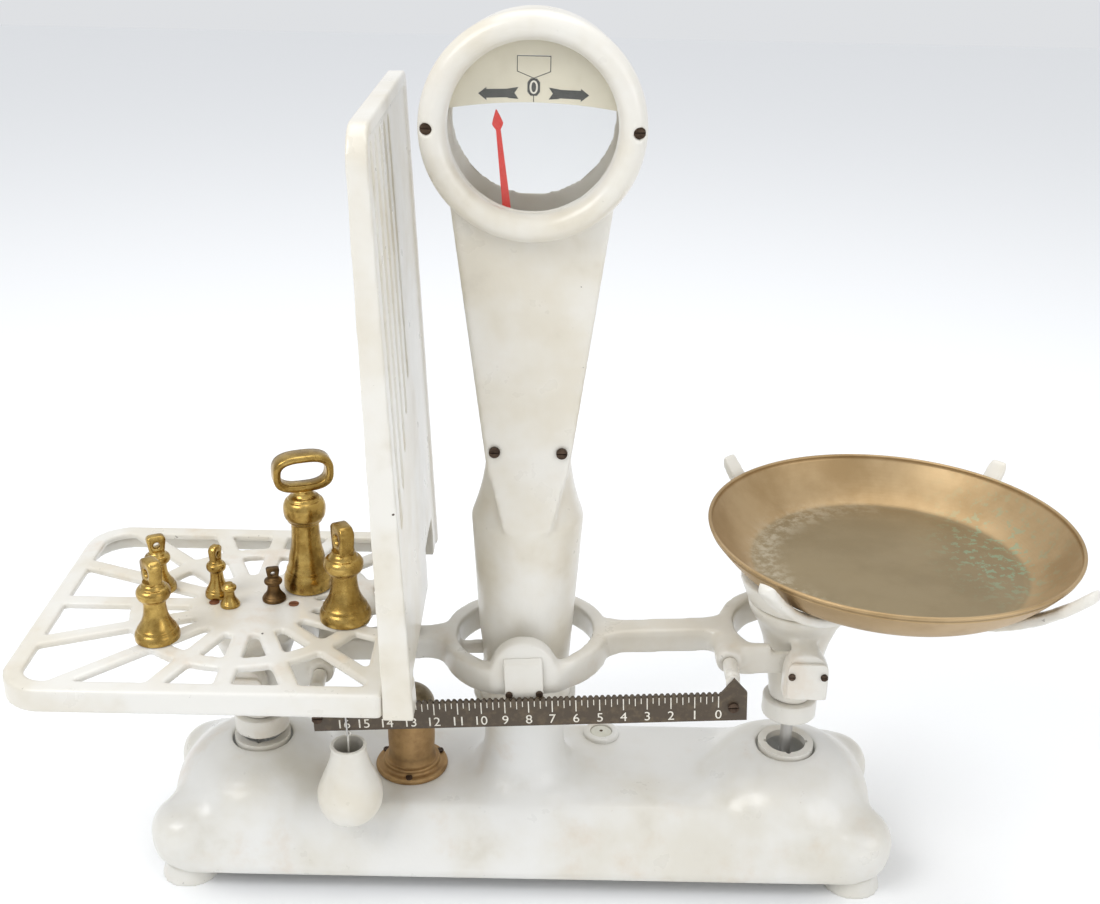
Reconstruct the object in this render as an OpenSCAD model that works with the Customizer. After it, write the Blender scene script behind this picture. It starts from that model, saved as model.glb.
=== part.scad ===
// Counter balance with a goods platform, a fan-shaped dial tower and a lift-off pan.
// Units are millimetres, +Z is up and the bench is z = 0.

/* [Balance] */
// Height of the fulcrum edge above the bench
fulcrum_z = 198; // [150:1:260]
// Distance from the fulcrum edge to each end edge
beam_arm = 228.6; // [190:0.1:275]
// Tilt of the beam when its goods end rests on the stop
rest_tilt = 3.1; // [1:0.1:5]
// Height of the lower check beam's pivot
check_z = 42; // [34:1:50]
// Gap left at every knife edge and every open pivot
pivot_gap = 0.3; // [0.1:0.05:0.6]
// Radial running clearance of pins that carry a moving part
running_gap = 0.05; // [0.02:0.01:0.1]
// Radial clearance of screws and fixed pins in their holes
screw_gap = 0.1; // [0.05:0.05:0.4]

/* [Base] */
// Depth of the casting in front of the column
base_front = 85; // [70:1:110]
// Depth of the casting behind the column
base_back = 85; // [75:1:110]
// Front edge of the flat top
base_top_front = 55; // [45:1:65]
// Rear edge of the flat top
base_top_back = 70; // [60:1:75]
// Height of the flat top
base_top_z = 73; // [66:1:90]
// Height of the lower edge above the bench
base_edge_z = 15; // [10:1:22]
// Height of the upright lip along the lower edge
base_lip = 9; // [5:1:14]
// Thickness of the cast wall
base_wall = 6; // [4:0.5:8]
// Largest radius of the domed ends
dome_r = 78; // [66:1:80]
// Height at which the domed ends are widest
dome_z = 48; // [36:1:54]
// Radius of the collar around a neck
neck_r = 30; // [28:1:36]
// Height of the neck collar's rim
neck_z = 105.3; // [98:0.1:112]
// Radius of the hole the stem passes through
neck_hole_r = 17.1; // [14:0.1:20]
// Radius of the insert pressed into the neck
neck_insert_r = 24; // [21:0.5:26]
// Height of the neck insert
neck_insert_h = 6; // [4:0.5:8]
// Radius of the small notches in the insert
neck_notch_r = 2.2; // [1.5:0.1:3]
// Distance of a corner lobe from the column along the base
lobe_x = 285; // [270:1:330]
// Distance of a corner lobe from the column across the base
lobe_y = 55; // [48:1:62]
// Radius of a corner lobe at its widest
lobe_r = 32; // [26:1:38]
// Height at which a corner lobe is widest
lobe_z = 46; // [38:1:52]
// Height of the top of a corner lobe
lobe_top_z = 68; // [62:1:78]
// Radius of a foot at the bench
foot_r = 25; // [16:0.5:26]
// Radius of a foot where it meets the lobe
foot_top_r = 21; // [18:0.5:25]
// Radius of the stud that fixes a foot
foot_stud_r = 4; // [3:0.5:6]
// Length of the stud that fixes a foot
foot_stud_h = 12; // [8:1:18]

/* [Pedestal] */
// Radius where the pedestal leaves the base
pedestal_foot_r = 52; // [46:1:54]
// Radius of the pedestal's waist
pedestal_waist_r = 35; // [32:0.5:42]
// Height of the pedestal's waist
pedestal_waist_z = 112; // [100:1:120]
// Radius of the cup that holds the column
cup_r = 46.9; // [44:0.1:50]
// Height of the cup's rim
cup_z = 157; // [150:1:165]
// Depth of the recess in the cup
cup_recess = 6; // [4:0.5:8]
// Radius of the column's foot flange
column_flange_r = 39.7; // [38:0.1:42]
// Radius of the bore through the pedestal
pedestal_bore_r = 26; // [20:1:28]

/* [Tower] */
// Radius of the column at its foot
column_r = 35.2; // [34:0.1:39]
// Radius of the column at its upper rim
column_top_r = 45.6; // [42:0.1:52]
// Height of the column's upper rim
column_top_z = 322; // [290:1:350]
// Height at which the front cover starts
cover_z = 318; // [230:1:322]
// Half width of the tower where the panel starts
panel_bottom_half = 33.5; // [31:0.5:42]
// Height at which the panel starts
panel_bottom_z = 384; // [360:1:410]
// Half width of the tower at the top of the panel
panel_top_half = 59; // [48:0.5:66]
// Height of the top of the panel
panel_top_z = 580; // [540:1:610]
// Distance of the panel in front of the column axis
panel_front = 36; // [32:0.5:44]
// Distance of the tower's back behind the column axis
tower_back = 30; // [28:0.5:44]
// Wall thickness of the tower castings
tower_wall = 5; // [4:0.5:6]
// Distance of the facet's lower end in front of the axis
facet_front = 46; // [42:0.5:52]
// Half width of the facet's lower end
facet_half = 18; // [12:0.5:24]
// Distance of the cover screws from the middle
cover_screw_x = 26; // [20:0.5:27]
// Height of the cover screws
cover_screw_z = 390; // [386:1:405]
// Radius of the bosses the cover screws enter
cover_boss_r = 5.5; // [5:0.1:7]

/* [Dial] */
// Height of the dial's centre
dial_z = 638.7; // [600:0.1:680]
// Outer radius of the dial drum
drum_r = 76; // [70:0.5:84]
// Distance of the drum's front face in front of the axis
drum_front = 42; // [40:0.5:50]
// Outer radius of the bezel
bezel_r = 80.3; // [77:0.1:90]
// Radius of the dial opening
dial_open_r = 60.1; // [50:0.1:64]
// Depth of the bezel ring
bezel_depth = 15; // [8:0.5:20]
// Distance of the bezel screws from the dial's centre
bezel_screw_x = 74; // [70:0.5:76]
// Radius of the dial glasses
glass_r = 66; // [62:0.5:68]
// Thickness of the dial glasses
glass_t = 3; // [2:0.5:4]
// Height of the dial plate's arched edge above the dial's centre
plate_arch_z = 16; // [8:0.5:24]
// Radius of the dial plate's arched edge
plate_arch_r = 360; // [200:5:600]
// Distance of the dial plate in front of the axis
dial_plate_y = 31; // [29:0.5:33]
// Thickness of the dial plate
dial_plate_t = 1.2; // [0.8:0.1:2]
// Half width of the sighting notch in the dial plate
sight_half = 11.5; // [8:0.5:14]
// Height of the sighting notch's top above the dial's centre
sight_top = 48; // [42:0.5:52]
// Height of the sighting notch's point above the dial's centre
sight_point = 34; // [28:0.5:40]

/* [Pointer] */
// Height of the pointer's pivot
pointer_z = 418; // [405:1:440]
// Turns of the pointer for one turn of the beam
pointer_ratio = 2.1; // [1.6:0.1:2.6]
// Length of the pointer above its pivot
pointer_len = 232; // [200:1:240]
// Width of the pointer near its pivot
pointer_root_w = 8; // [3:0.5:12]
// Width of the pointer's tip
pointer_tip_w = 3.4; // [1:0.1:5]
// Width of the pointer's spade
pointer_head_w = 8; // [5:0.5:10]
// Length of the spade
pointer_head = 14; // [10:1:20]
// Thickness of the pointer
pointer_t = 1.2; // [0.8:0.1:2]
// Distance of the pointer in front of the axis
pointer_y = 26; // [22:0.5:28]
// Length of the crank on the pointer's arbor
crank_len = 12; // [9:0.5:13]
// Radius of the pointer's arbor
arbor_r = 3; // [2.5:0.1:4]
// Radius of the pins at the ends of the link
link_pin_r = 2; // [1.5:0.1:2.5]
// Width of the link's bar
link_w = 5; // [4:0.5:7]
// Thickness of the link
link_t = 4; // [3:0.5:5]
// Near face of the link behind the axis
link_y = 3; // [3:0.5:4]

/* [Beam] */
// Height of the beam's top above the fulcrum edge
beam_top = 16; // [14:0.5:24]
// Depth of the arms
arm_depth = 22; // [18:0.5:28]
// Half width of an arm
arm_half = 12; // [9:0.5:16]
// Half width of an arm where it joins a ring
arm_root_half = 19; // [15:0.5:26]
// Outer radius of the middle ring
ring_r = 70; // [66:0.5:76]
// Inner radius of the middle ring
ring_hole_r = 57; // [54:0.5:60]
// Depth of the middle ring
ring_depth = 25; // [22:0.5:30]
// Outer radius of an end ring
end_r = 66; // [62:0.5:72]
// Inner radius of an end ring
end_hole_r = 53; // [50:0.5:56]
// Depth of an end ring
end_depth = 28; // [24:0.5:34]
// Front face of an end ring's straight bar
end_bar_front = 40; // [38:0.5:44]
// Distance a fork reaches past its end edge
end_tip = 15; // [12:0.5:17]
// Thickness of an end ring's straight bar
end_bar_t = 8; // [6:0.5:9]
// Height of the straight bar's top above the end edge
end_bar_top = 8; // [6:0.5:10]
// Radius of the arched fulcrum housings
arch_r = 27; // [24:0.5:32]
// Height of the arch centre above the fulcrum edge
arch_z = 12; // [9:0.5:16]
// Distance of the housing's outer face from the axis
arch_front = 66; // [65:0.5:69]
// Distance of the housing's inner face from the axis
arch_back = 50; // [48:0.5:53]
// Half width of the fulcrum and end knives
knife_half = 5; // [4:0.5:6]
// Slope height of a knife edge
knife_rise = 6; // [4:0.5:8]
// Full height of a knife
knife_h = 14; // [11:0.5:16]
// Half width of the bearing blocks
bearing_half = 10; // [9:0.5:12]
// Height of the bearing blocks above the edge
bearing_top = 14; // [12:0.5:16]
// Thickness of the fulcrum cap
cap_t = 4; // [3:0.5:5]
// Half width of the fulcrum cap
cap_half = 15.5; // [14:0.5:18]
// Height of the fulcrum cap's top above the edge
cap_top = 27; // [22:0.5:30]
// Distance of the cap screws from the middle
cap_screw_x = 12.2; // [11.5:0.1:13]
// Drop of the cap screws below the fulcrum edge
cap_screw_drop = 5; // [3:0.5:7]

/* [Graduated bar] */
// Front face of the bar in front of the axis
bar_front = 75.5; // [74:0.5:82]
// Thickness of the bar
bar_t = 3; // [2:0.5:4]
// Height of the bar
bar_h = 25.4; // [20:0.1:30]
// Drop of the bar's top below the fulcrum edge
bar_drop = 5.8; // [4:0.1:9]
// Left end of the bar
bar_left = 171; // [165:0.5:180]
// Right end of the bar
bar_right = 178.5; // [176:0.5:190]
// Position of the zero notch
bar_zero = 155.6; // [150:0.1:156]
// Distance between neighbouring notches
notch_pitch = 4.7625; // [4:0.0005:4.8]
// Number of notch steps along the bar
notch_count = 64; // [32:4:64]
// Depth of a notch
notch_depth = 2.2; // [1.5:0.1:3]
// Height of the bar's pointed end above the fulcrum edge
bar_peak = 6.9; // [4:0.1:10]
// Position of the bar's hangers and screws from the middle
hanger_x = 167.5; // [166:0.5:169]
// Radius of the bosses that carry the hangers
hanger_boss_r = 11; // [9:0.5:12]
// Height of the hanger bosses above the fulcrum edge
hanger_boss_z = 4; // [2:0.5:5]
// Front face of the hanger bosses
hanger_boss_front = 46; // [44:0.5:52]
// Radius of a hanger's rod
hanger_rod_r = 4; // [3:0.5:5]
// Width of a hanger's strap
hanger_w = 11; // [9:0.5:12]
// Thickness of a hanger's strap
hanger_t = 4; // [3:0.5:5]

/* [Poise] */
// Notch steps between the poise and the last notch
poise_step = 1; // [0:1:8]
// Radius of the poise's wire
wire_r = 0.8; // [0.6:0.1:0.8]
// Drop of the poise's crossbar below the bar
poise_drop = 3.5; // [2.5:0.5:6]
// Distance of the cup's rim below the crossbar
poise_cup_top = 10.7; // [8:0.1:14]
// Height of the cup
poise_cup_h = 73; // [60:1:84]
// Radius of the cup's mouth
poise_mouth_r = 14.4; // [12:0.1:18]
// Largest radius of the cup
poise_belly_r = 27; // [22:0.5:30]
// Wall thickness of the cup
poise_wall = 2.5; // [2:0.1:3]

/* [Stems] */
// Radius of the hub at its waist
hub_waist_r = 19; // [15:0.5:22]
// Radius of the hub level with the end edge
hub_mid_r = 28; // [25:0.5:31]
// Radius of the hub's upper flange
hub_top_r = 43; // [40:0.5:46]
// Distance of the hub's foot below the end edge
hub_foot = 57; // [52:1:64]
// Height of the pan hub's flange above the end edge
pan_hub_top = 37; // [34:0.5:42]
// Radius of the hollow in the hub
hub_hollow_r = 22; // [16:0.5:24]
// Half width of the front bearing block
block_half = 18; // [16:0.5:20]
// Front face of the bearing block
block_front = 60; // [59:0.5:64]
// Rear face of the front bearing block
block_back = 43; // [42.5:0.5:46]
// Drop of the bearing block below the end edge
block_drop = 25; // [20:0.5:30]
// Thickness of the cover plates
block_cover_t = 3.5; // [2.5:0.5:5]
// Half width of the cover plates
block_cover_half = 16; // [15:0.5:17]
// Distance of the cover screws from the stem axis
block_screw_x = 13; // [12:0.5:14]
// Half width of the rear bearing lug
lug_half = 11; // [10:0.5:13]
// Distance of the rear lug's far face from the stem axis
lug_back = 50; // [46:0.5:50]
// Radius of the stem rods
rod_r = 5.2; // [4:0.1:6]
// Radius of the skirts above the necks
skirt_r = 23.2; // [19:0.1:26]
// Height of the skirts
skirt_h = 17; // [12:0.5:20]
// Wall thickness of the skirts
skirt_wall = 2.5; // [2:0.1:4]
// Radius of the pins in the check beam's ends
check_pin_r = 3; // [2.5:0.1:4]
// Radius of the check beam's centre pin
check_centre_r = 5; // [4:0.5:6]
// Half width of the check beam
check_half = 6; // [5:0.5:8]
// Half height of the check beam
check_half_h = 5; // [4:0.5:7]

/* [Platform] */
// Height of the platform's top above the end edge
plate_top = 47.2; // [44:0.1:56]
// Distance of the platform's outer edge from its stem
plate_out = 171.4; // [140:0.1:205]
// Distance of the platform's inner edge from its stem
plate_in = 122.6; // [110:0.1:124]
// Half depth of the platform
plate_half = 139; // [116:1:150]
// Radius of the platform's corners
plate_corner = 36; // [26:1:48]
// Corner radius of the platform beside the guard
plate_in_corner = 5; // [2:0.5:12]
// Thickness of the platform's top
plate_t = 6; // [4:0.5:8]
// Height of the platform's rim
plate_rim_h = 20; // [14:0.5:22]
// Thickness of the platform's rim
plate_rim_t = 6; // [4:0.5:9]
// Width of the border outside the outer slots
plate_border = 15; // [12:0.5:22]
// Number of slots in each ring
slot_count = 16; // [12:2:20]
// Width of the ribs between slots
rib_w = 14; // [8:0.5:15]
// Inner radius of the inner slots
slot_in_r = 52; // [48:1:58]
// Outer radius of the inner slots
slot_mid_r = 86; // [76:1:92]
// Inner radius of the outer slots
slot_out_r = 101; // [96:1:108]
// Distance of the platform's screws from the stem
plate_screw_x = 33.3; // [30:0.1:37]

/* [Guard] */
// Height of the guard above the platform
guard_h = 421; // [340:1:500]
// Depth of the guard in front of the stem
guard_front = 138; // [115:1:145]
// Depth of the guard behind the stem
guard_back = 124; // [85:1:125]
// Lean of the guard away from the tower
guard_lean = 1.8; // [0:0.1:3]
// Thickness of the guard's rim at the top
guard_top_t = 14; // [10:0.5:18]
// Thickness of the guard's rim at the platform
guard_foot_t = 23; // [16:0.5:25]
// Thickness of the guard's web
guard_web = 5; // [3:0.5:7]
// Width of the guard's rim
guard_rim = 9; // [6:0.5:14]
// Radius of the guard's upper corners
guard_corner = 26; // [14:1:40]
// Corner radius at the top rear
guard_back_corner = 8; // [3:1:20]
// Depth of the panel below its rim
guard_recess = 2; // [1:0.5:4]
// Number of slots in the guard
guard_slots = 5; // [3:1:6]
// Width of a guard slot
guard_slot_w = 9; // [6:0.5:12]
// Distance between guard slots
guard_slot_pitch = 26; // [20:0.5:30]
// Middle of the first guard slot
guard_slot_y = -102; // [-104:1:-80]
// Height of the first slot's lower end above the platform
guard_slot_z = 122; // [80:1:180]
// Rise of the slot ends from one slot to the next
guard_slot_rise = 20; // [0:1:26]
// Thickness of the guard's bracket
bracket_t = 5; // [3:0.5:7]
// Middle of the guard's bracket behind the stem
bracket_y = 62; // [45:1:70]
// Half length of the guard's bracket
bracket_half = 28; // [22:1:34]
// Height of the bracket above the platform
bracket_h = 34; // [26:1:44]

/* [Pan] */
// Distance of the pan's centre outboard of its stem
pan_x = 70.5; // [50:0.5:90]
// Height of the pan's floor above the end edge
pan_floor = 71; // [66:0.5:78]
// Radius of the pan's floor
pan_floor_r = 111; // [90:1:125]
// Radius of the pan's rim
pan_rim_r = 150.6; // [130:0.1:165]
// Depth of the pan
pan_depth = 33; // [22:0.5:45]
// Thickness of the pan's metal
pan_t = 1.4; // [1:0.1:2]
// Radius of the bead around the pan's rim
pan_bead_r = 1.6; // [1:0.1:3]
// Radius of the post under the pan's centre
spider_post_r = 30; // [22:1:36]
// Width of a spider arm
spider_w = 17; // [12:0.5:22]
// Distance of a spider arm's tip from the pan's centre
spider_tip_r = 176; // [158:0.5:190]
// Height of a spider arm's tip above the pan's floor
spider_tip_z = 36; // [26:0.5:46]
// Thickness of a spider arm
spider_t = 10; // [7:0.5:12]
// Radius of the spider's flange over the hub
spider_flange_r = 52; // [44:0.5:54]
// Height of the spider's flange
spider_flange_h = 22; // [18:0.5:27]

/* [Dashpot] */
// Distance of the dashpot from the column
dashpot_x = 98.8; // [92:0.1:101]
// Outer radius of the dashpot's cylinder
dashpot_r = 20.4; // [18:0.1:21]
// Bore radius of the dashpot's cylinder
dashpot_bore_r = 18; // [15:0.1:18.4]
// Height of the dashpot's cylinder above the base
dashpot_h = 65; // [56:1:70]
// Radius of the dashpot's flange
dashpot_flange_r = 31; // [29:0.5:33]
// Thickness of the dashpot's flange
dashpot_flange_t = 5; // [4:0.5:6]
// Height of the dashpot's dome
dome_cap_h = 16; // [12:0.5:18]
// Radius of the dashpot's rod
plunger_rod_r = 2.5; // [2:0.1:3]
// Radius of the dashpot's piston
piston_r = 17.5; // [14:0.1:17.8]

/* [Spirit level] */
// Distance of the level to the right of the column
level_x = 69.7; // [64:0.5:90]
// Distance of the level behind the column
level_y = 52; // [46:0.5:53]
// Radius of the level's ring
level_r = 16.4; // [12:0.1:17]
// Radius of the level's glass
level_glass_r = 10; // [7:0.1:12]
// Height of the level's ring
level_h = 4; // [3:0.5:7]

/* [Weights] */
// Base radius of the largest weight
w_a_r = 20.3; // [17:0.1:24]
// Height of the largest weight's body
w_a_h = 92; // [76:1:104]
// Base radius of the second weight
w_b_r = 21.2; // [18:0.1:25]
// Height of the second weight
w_b_h = 85; // [70:1:98]
// Base radius of the third weight
w_c_r = 17.8; // [15:0.1:21]
// Height of the third weight
w_c_h = 69.6; // [58:0.1:80]
// Base radius of the fourth weight
w_d_r = 14; // [12:0.1:16]
// Height of the fourth weight
w_d_h = 50.3; // [42:0.1:60]
// Base radius of the fifth weight
w_e_r = 10.7; // [9:0.1:13]
// Height of the fifth weight
w_e_h = 46.2; // [38:0.1:54]
// Base radius of the sixth weight
w_f_r = 9.9; // [8:0.1:11]
// Height of the sixth weight
w_f_h = 29.6; // [24:0.1:36]
// Base radius of the smallest weight
w_g_r = 8.2; // [7:0.1:9]
// Height of the smallest weight
w_g_h = 20.9; // [17:0.1:25]
// Width of the largest weight's loop
w_loop_w = 50; // [40:1:58]
// Height of the loop
w_loop_h = 33; // [28:1:38]
// Thickness of the loop's strap
w_loop_t = 5; // [4:0.5:6]
// Breadth of the loop's strap
w_loop_d = 15; // [12:0.5:18]

/* [Hidden] */
eps = 0.01;
tight = 2 * eps;
cos_t = cos(rest_tilt);
sin_t = sin(rest_tilt);
pan_reach = beam_arm * cos_t + pan_x + pan_rim_r;
plate_reach = beam_arm * cos_t + plate_out;
column_x = (plate_reach - pan_reach) / 2;
stem_drop = fulcrum_z - check_z;
neck_x = beam_arm;
white = [0.89, 0.88, 0.83];
steel = [0.55, 0.55, 0.54];
dark = [0.16, 0.13, 0.11];
bronze = [0.62, 0.5, 0.32];
brass = [0.78, 0.62, 0.3];
gold = [0.62, 0.48, 0.28];
red = [0.8, 0.12, 0.1];
cream = [0.9, 0.88, 0.78];
glass = [0.75, 0.85, 0.85, 0.35];
head_r = 4.3;
head_h = 2.4;
slot_w = 1.1;
slot_d = 1.2;
shank_r = 2.4;
glass_y = drum_front - glass_t;
plate_z = plate_top - plate_t;
pointer_half = [[pointer_root_w / 2, -18], [pointer_root_w / 2, pointer_len / 2],
  [pointer_tip_w / 2, pointer_len - pointer_head],
  [pointer_head_w / 2 - 0.5, pointer_len - 0.8 * pointer_head],
  [pointer_head_w / 2, pointer_len - 0.68 * pointer_head],
  [pointer_head_w / 3, pointer_len - 0.4 * pointer_head], [0.4, pointer_len]];
bar_mid = -bar_drop - bar_h / 2;
bar_back = bar_front - bar_t;
poise_x = bar_zero - (notch_count - poise_step) * notch_pitch;
cross_z = -bar_drop - bar_h - poise_drop;
wire_top = -bar_drop + pivot_gap + wire_r;
wire_front = bar_front + pivot_gap + wire_r;
wire_back = bar_back - pivot_gap - wire_r;
guard_x = plate_in;
link_x = crank_len * pointer_ratio;
pointer_tilt = rest_tilt * pointer_ratio;
pin_head_r = 4.5;
pin_head_t = 2;
arm_bottom = beam_top - arm_depth;
ring_bottom = beam_top - ring_depth;
end_bottom = beam_top - end_depth;
rod_foot_r = 8;
rod_foot_half = 4;
fork_gap = 0.5;
fork_in = rod_foot_half + fork_gap;
fork_out = 8;
fork_len = 22;
bridge_gap = 3.5;
dashpot_step = 5;
dashpot_step_w = 4;
plunger_eye_half = 3;
arc_steps = 9;

// ---------------------------------------------------------------- frames

module placed() {
  translate([column_x, 0, 0]) children();
}

module beam_frame() {
  placed() translate([0, 0, fulcrum_z]) rotate([0, -rest_tilt, 0]) children();
}

module goods_frame() {
  placed() translate([-beam_arm * cos_t, 0, fulcrum_z - beam_arm * sin_t]) children();
}

module pan_frame() {
  placed() translate([beam_arm * cos_t, 0, fulcrum_z + beam_arm * sin_t]) children();
}

module pan_centre() {
  pan_frame() translate([pan_x, 0, pan_floor]) children();
}

module pointer_frame() {
  placed() translate([0, 0, pointer_z]) rotate([0, -pointer_tilt, 0]) children();
}

module guard_frame() {
  goods_frame() translate([guard_x, 0, plate_top]) rotate([0, -guard_lean, 0]) children();
}

module level_frame() {
  placed() translate([level_x, level_y, base_top_z]) children();
}

module dashpot_frame() {
  placed() translate([-dashpot_x * cos_t, 0, base_top_z]) children();
}

module dial_frame() {
  placed() translate([0, 0, dial_z]) children();
}

// ---------------------------------------------------------------- shapes

// Cylinder along Y from y0 to y1.
module ycyl(r, y0, y1) {
  translate([0, y1, 0]) rotate([90, 0, 0]) cylinder(r = r, h = y1 - y0, $fn = 64);
}

// Cylinder along X from x0 to x1.
module xcyl(r, x0, x1) {
  translate([x0, 0, 0]) rotate([0, 90, 0]) cylinder(r = r, h = x1 - x0, $fn = 64);
}

// Upright cylinder from z0 to z1.
module zcyl(r, z0, z1) {
  translate([0, 0, z0]) cylinder(r = r, h = z1 - z0, $fn = 96);
}

// Box given by its two corners.
module box(a, b) {
  translate(a) cube(b - a);
}

// Prism of an x-z outline between y0 and y1.
module yprism(y0, y1) {
  translate([0, y1, 0]) rotate([90, 0, 0]) linear_extrude(height = y1 - y0) children();
}

// Prism of a y-z outline between x0 and x1.
module xprism(x0, x1) {
  translate([x0, 0, 0]) rotate([90, 0, 90]) linear_extrude(height = x1 - x0) children();
}

// Rounded rectangle given by its two corners.
module rounded(a, b, r) {
  translate([a[0] + r, a[1]]) square([b[0] - a[0] - 2 * r, b[1] - a[1]]);
  translate([a[0], a[1] + r]) square([b[0] - a[0], b[1] - a[1] - 2 * r]);
  for (x = [a[0] + r, b[0] - r])
    for (y = [a[1] + r, b[1] - r])
      translate([x, y]) circle(r = r, $fn = 64);
}

// Quarter ellipse from the top (r0, z1) out to (r1, z0).
function quarter(r0, r1, z0, z1) =
  [for (i = [0:arc_steps])
    [r0 + (r1 - r0) * sin(90 * i / arc_steps), z0 + (z1 - z0) * cos(90 * i / arc_steps)]];

// Slotted cheese-head screw on the -Y side: head face at y = 0, shank towards +Y.
module screw_y(r, len) {
  difference() {
    ycyl(r, -head_h, 0);
    box([-r, -head_h - eps, -slot_w / 2], [r, -head_h + slot_d, slot_w / 2]);
  }
  ycyl(shank_r, -eps, len);
}

// Slotted screw from above: head face at z = 0, shank downwards.
module screw_z(r, len) {
  difference() {
    zcyl(r, 0, head_h);
    box([-r, -slot_w / 2, head_h - slot_d], [r, slot_w / 2, head_h + eps]);
  }
  zcyl(shank_r, -len, eps);
}

// Slotted screw from the +X side: head face at x = 0, shank towards -X.
module screw_x(r, len) {
  difference() {
    xcyl(r, 0, head_h);
    box([head_h - slot_d, -slot_w / 2, -r], [head_h + eps, slot_w / 2, r]);
  }
  xcyl(shank_r, -len, eps);
}

// Knife: straight bar of house-shaped section with its edge at the origin.
module knife_shape() {
  polygon([[-knife_half, -knife_h], [knife_half, -knife_h], [knife_half, -knife_rise],
    [0, 0], [-knife_half, -knife_rise]]);
}

// Wide shallow notch that straddles a knife edge.
module notch_shape(half, drop) {
  polygon([[-half, -drop], [half, -drop], [half, -knife_rise / 3], [0, pivot_gap],
    [-half, -knife_rise / 3]]);
}

// ---------------------------------------------------------------- base

module base_section(inset) {
  low = base_edge_z - inset / 4;
  polygon([[-base_front + inset, low],
    [-base_front + inset, base_edge_z + base_lip],
    [-base_top_front + inset / 2, base_top_z - inset],
    [base_top_back - inset, base_top_z - inset],
    [base_back - inset, base_edge_z + 2 * base_lip],
    [base_back - inset, low]]);
}

module dome_solid(inset) {
  low = base_edge_z - inset / 4;
  shoulder = neck_z - neck_insert_h - inset;
  rotate_extrude($fn = 96)
    polygon(concat([[0, low], [0, neck_z - inset], [neck_r - inset, neck_z - inset]],
      quarter(neck_r - inset, dome_r - inset, dome_z, shoulder), [[dome_r - inset, low]]));
}

module lobe_solid() {
  rotate_extrude($fn = 96)
    polygon(concat([[0, lobe_top_z]],
      quarter(foot_r / 2, lobe_r, lobe_z, lobe_top_z),
      [for (i = [1:arc_steps])
        [foot_top_r + (lobe_r - foot_top_r) * cos(90 * i / arc_steps),
          lobe_z - (lobe_z - base_edge_z) * sin(90 * i / arc_steps)]],
      [[0, base_edge_z]]));
}

module pedestal_solid() {
  rotate_extrude($fn = 96)
    polygon(concat([[0, base_top_z - base_wall], [0, cup_z], [cup_r, cup_z],
      [cup_r, cup_z - cup_recess / 3]],
      [for (i = [0:arc_steps])
        [pedestal_waist_r + (cup_r - pedestal_waist_r) * pow(1 - i / arc_steps, 3),
          cup_z - cup_recess / 2 - (cup_z - cup_recess / 2 - pedestal_waist_z) * i / arc_steps]],
      [for (i = [1:arc_steps])
        [pedestal_waist_r + (pedestal_foot_r - pedestal_waist_r) * pow(i / arc_steps, 3),
          pedestal_waist_z - (pedestal_waist_z - base_top_z) * i / arc_steps]],
      [[pedestal_foot_r, base_top_z - base_wall]]));
}

module base_casting() {
  color(white) placed() difference() {
    union() {
      xprism(-lobe_x, lobe_x) base_section(0);
      for (side = [-1, 1]) {
        translate([side * neck_x, 0, 0]) dome_solid(0);
        for (y = [-lobe_y, lobe_y])
          translate([side * lobe_x, y, 0]) lobe_solid();
      }
      pedestal_solid();
    }
    xprism(-lobe_x + lobe_r, lobe_x - lobe_r) base_section(base_wall);
    for (side = [-1, 1]) {
      translate([side * neck_x, 0, 0]) {
        dome_solid(base_wall);
        zcyl(neck_insert_r - base_wall / 2, dome_z, neck_z + 1);
        zcyl(neck_insert_r, neck_z - neck_insert_h, neck_z + 1);
      }
      for (y = [-lobe_y, lobe_y])
        translate([side * lobe_x, y, 0])
          zcyl(foot_stud_r + screw_gap, base_edge_z - 1, base_edge_z + foot_stud_h + 1);
    }
    zcyl(pedestal_bore_r, base_edge_z, cup_z + 1);
    zcyl(column_flange_r + screw_gap, cup_z - cup_recess, cup_z + 1);
    translate([-dashpot_x * cos_t, 0, 0]) dashpot_holes();
  }
}

module dashpot_holes() {
  for (a = [-90, 30, 150])
    rotate([0, 0, a]) translate([dashpot_flange_r - shank_r - 1, 0, 0])
      zcyl(shank_r + screw_gap, base_top_z - base_wall - 1, base_top_z + dashpot_flange_t + eps);
}

module foot_pads() {
  color(white) placed()
    for (x = [-lobe_x, lobe_x])
      for (y = [-lobe_y, lobe_y])
        translate([x, y, 0]) {
          cylinder(r1 = foot_r, r2 = foot_top_r - tight, h = base_edge_z, $fn = 96);
          zcyl(foot_stud_r, base_edge_z - eps, base_edge_z + foot_stud_h);
        }
}

module neck_inserts() {
  color(white) placed()
    for (x = [-neck_x, neck_x])
      translate([x, 0, 0]) difference() {
        zcyl(neck_insert_r - tight, neck_z - neck_insert_h, neck_z);
        zcyl(neck_hole_r, neck_z - neck_insert_h - eps, neck_z + eps);
        for (a = [0, 180, 270])
          rotate([0, 0, a]) translate([neck_hole_r, 0, 0])
            zcyl(neck_notch_r, neck_z - neck_insert_h - eps, neck_z + eps);
      }
}

module fulcrum_bar() {
  color(steel) placed() translate([0, 0, fulcrum_z])
    yprism(-arch_front + cap_t, arch_front - cap_t) knife_shape();
}

module check_bracket() {
  ceiling = base_top_z - base_wall;
  cheek_in = check_half + 1;
  cheek_out = cheek_in + 5;
  pad = pedestal_bore_r + 8;
  color(white) placed() {
    box([-pad, -cheek_out - 4, ceiling - 4], [pad, cheek_out + 4, ceiling]);
    for (side = [-1, 1])
      difference() {
        box([-14, min(side * cheek_in, side * cheek_out), check_z - 11],
          [14, max(side * cheek_in, side * cheek_out), ceiling - 4 + eps]);
      }
    translate([0, 0, check_z]) ycyl(check_centre_r, -cheek_out, cheek_out);
  }
}

// ---------------------------------------------------------------- tower

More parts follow.
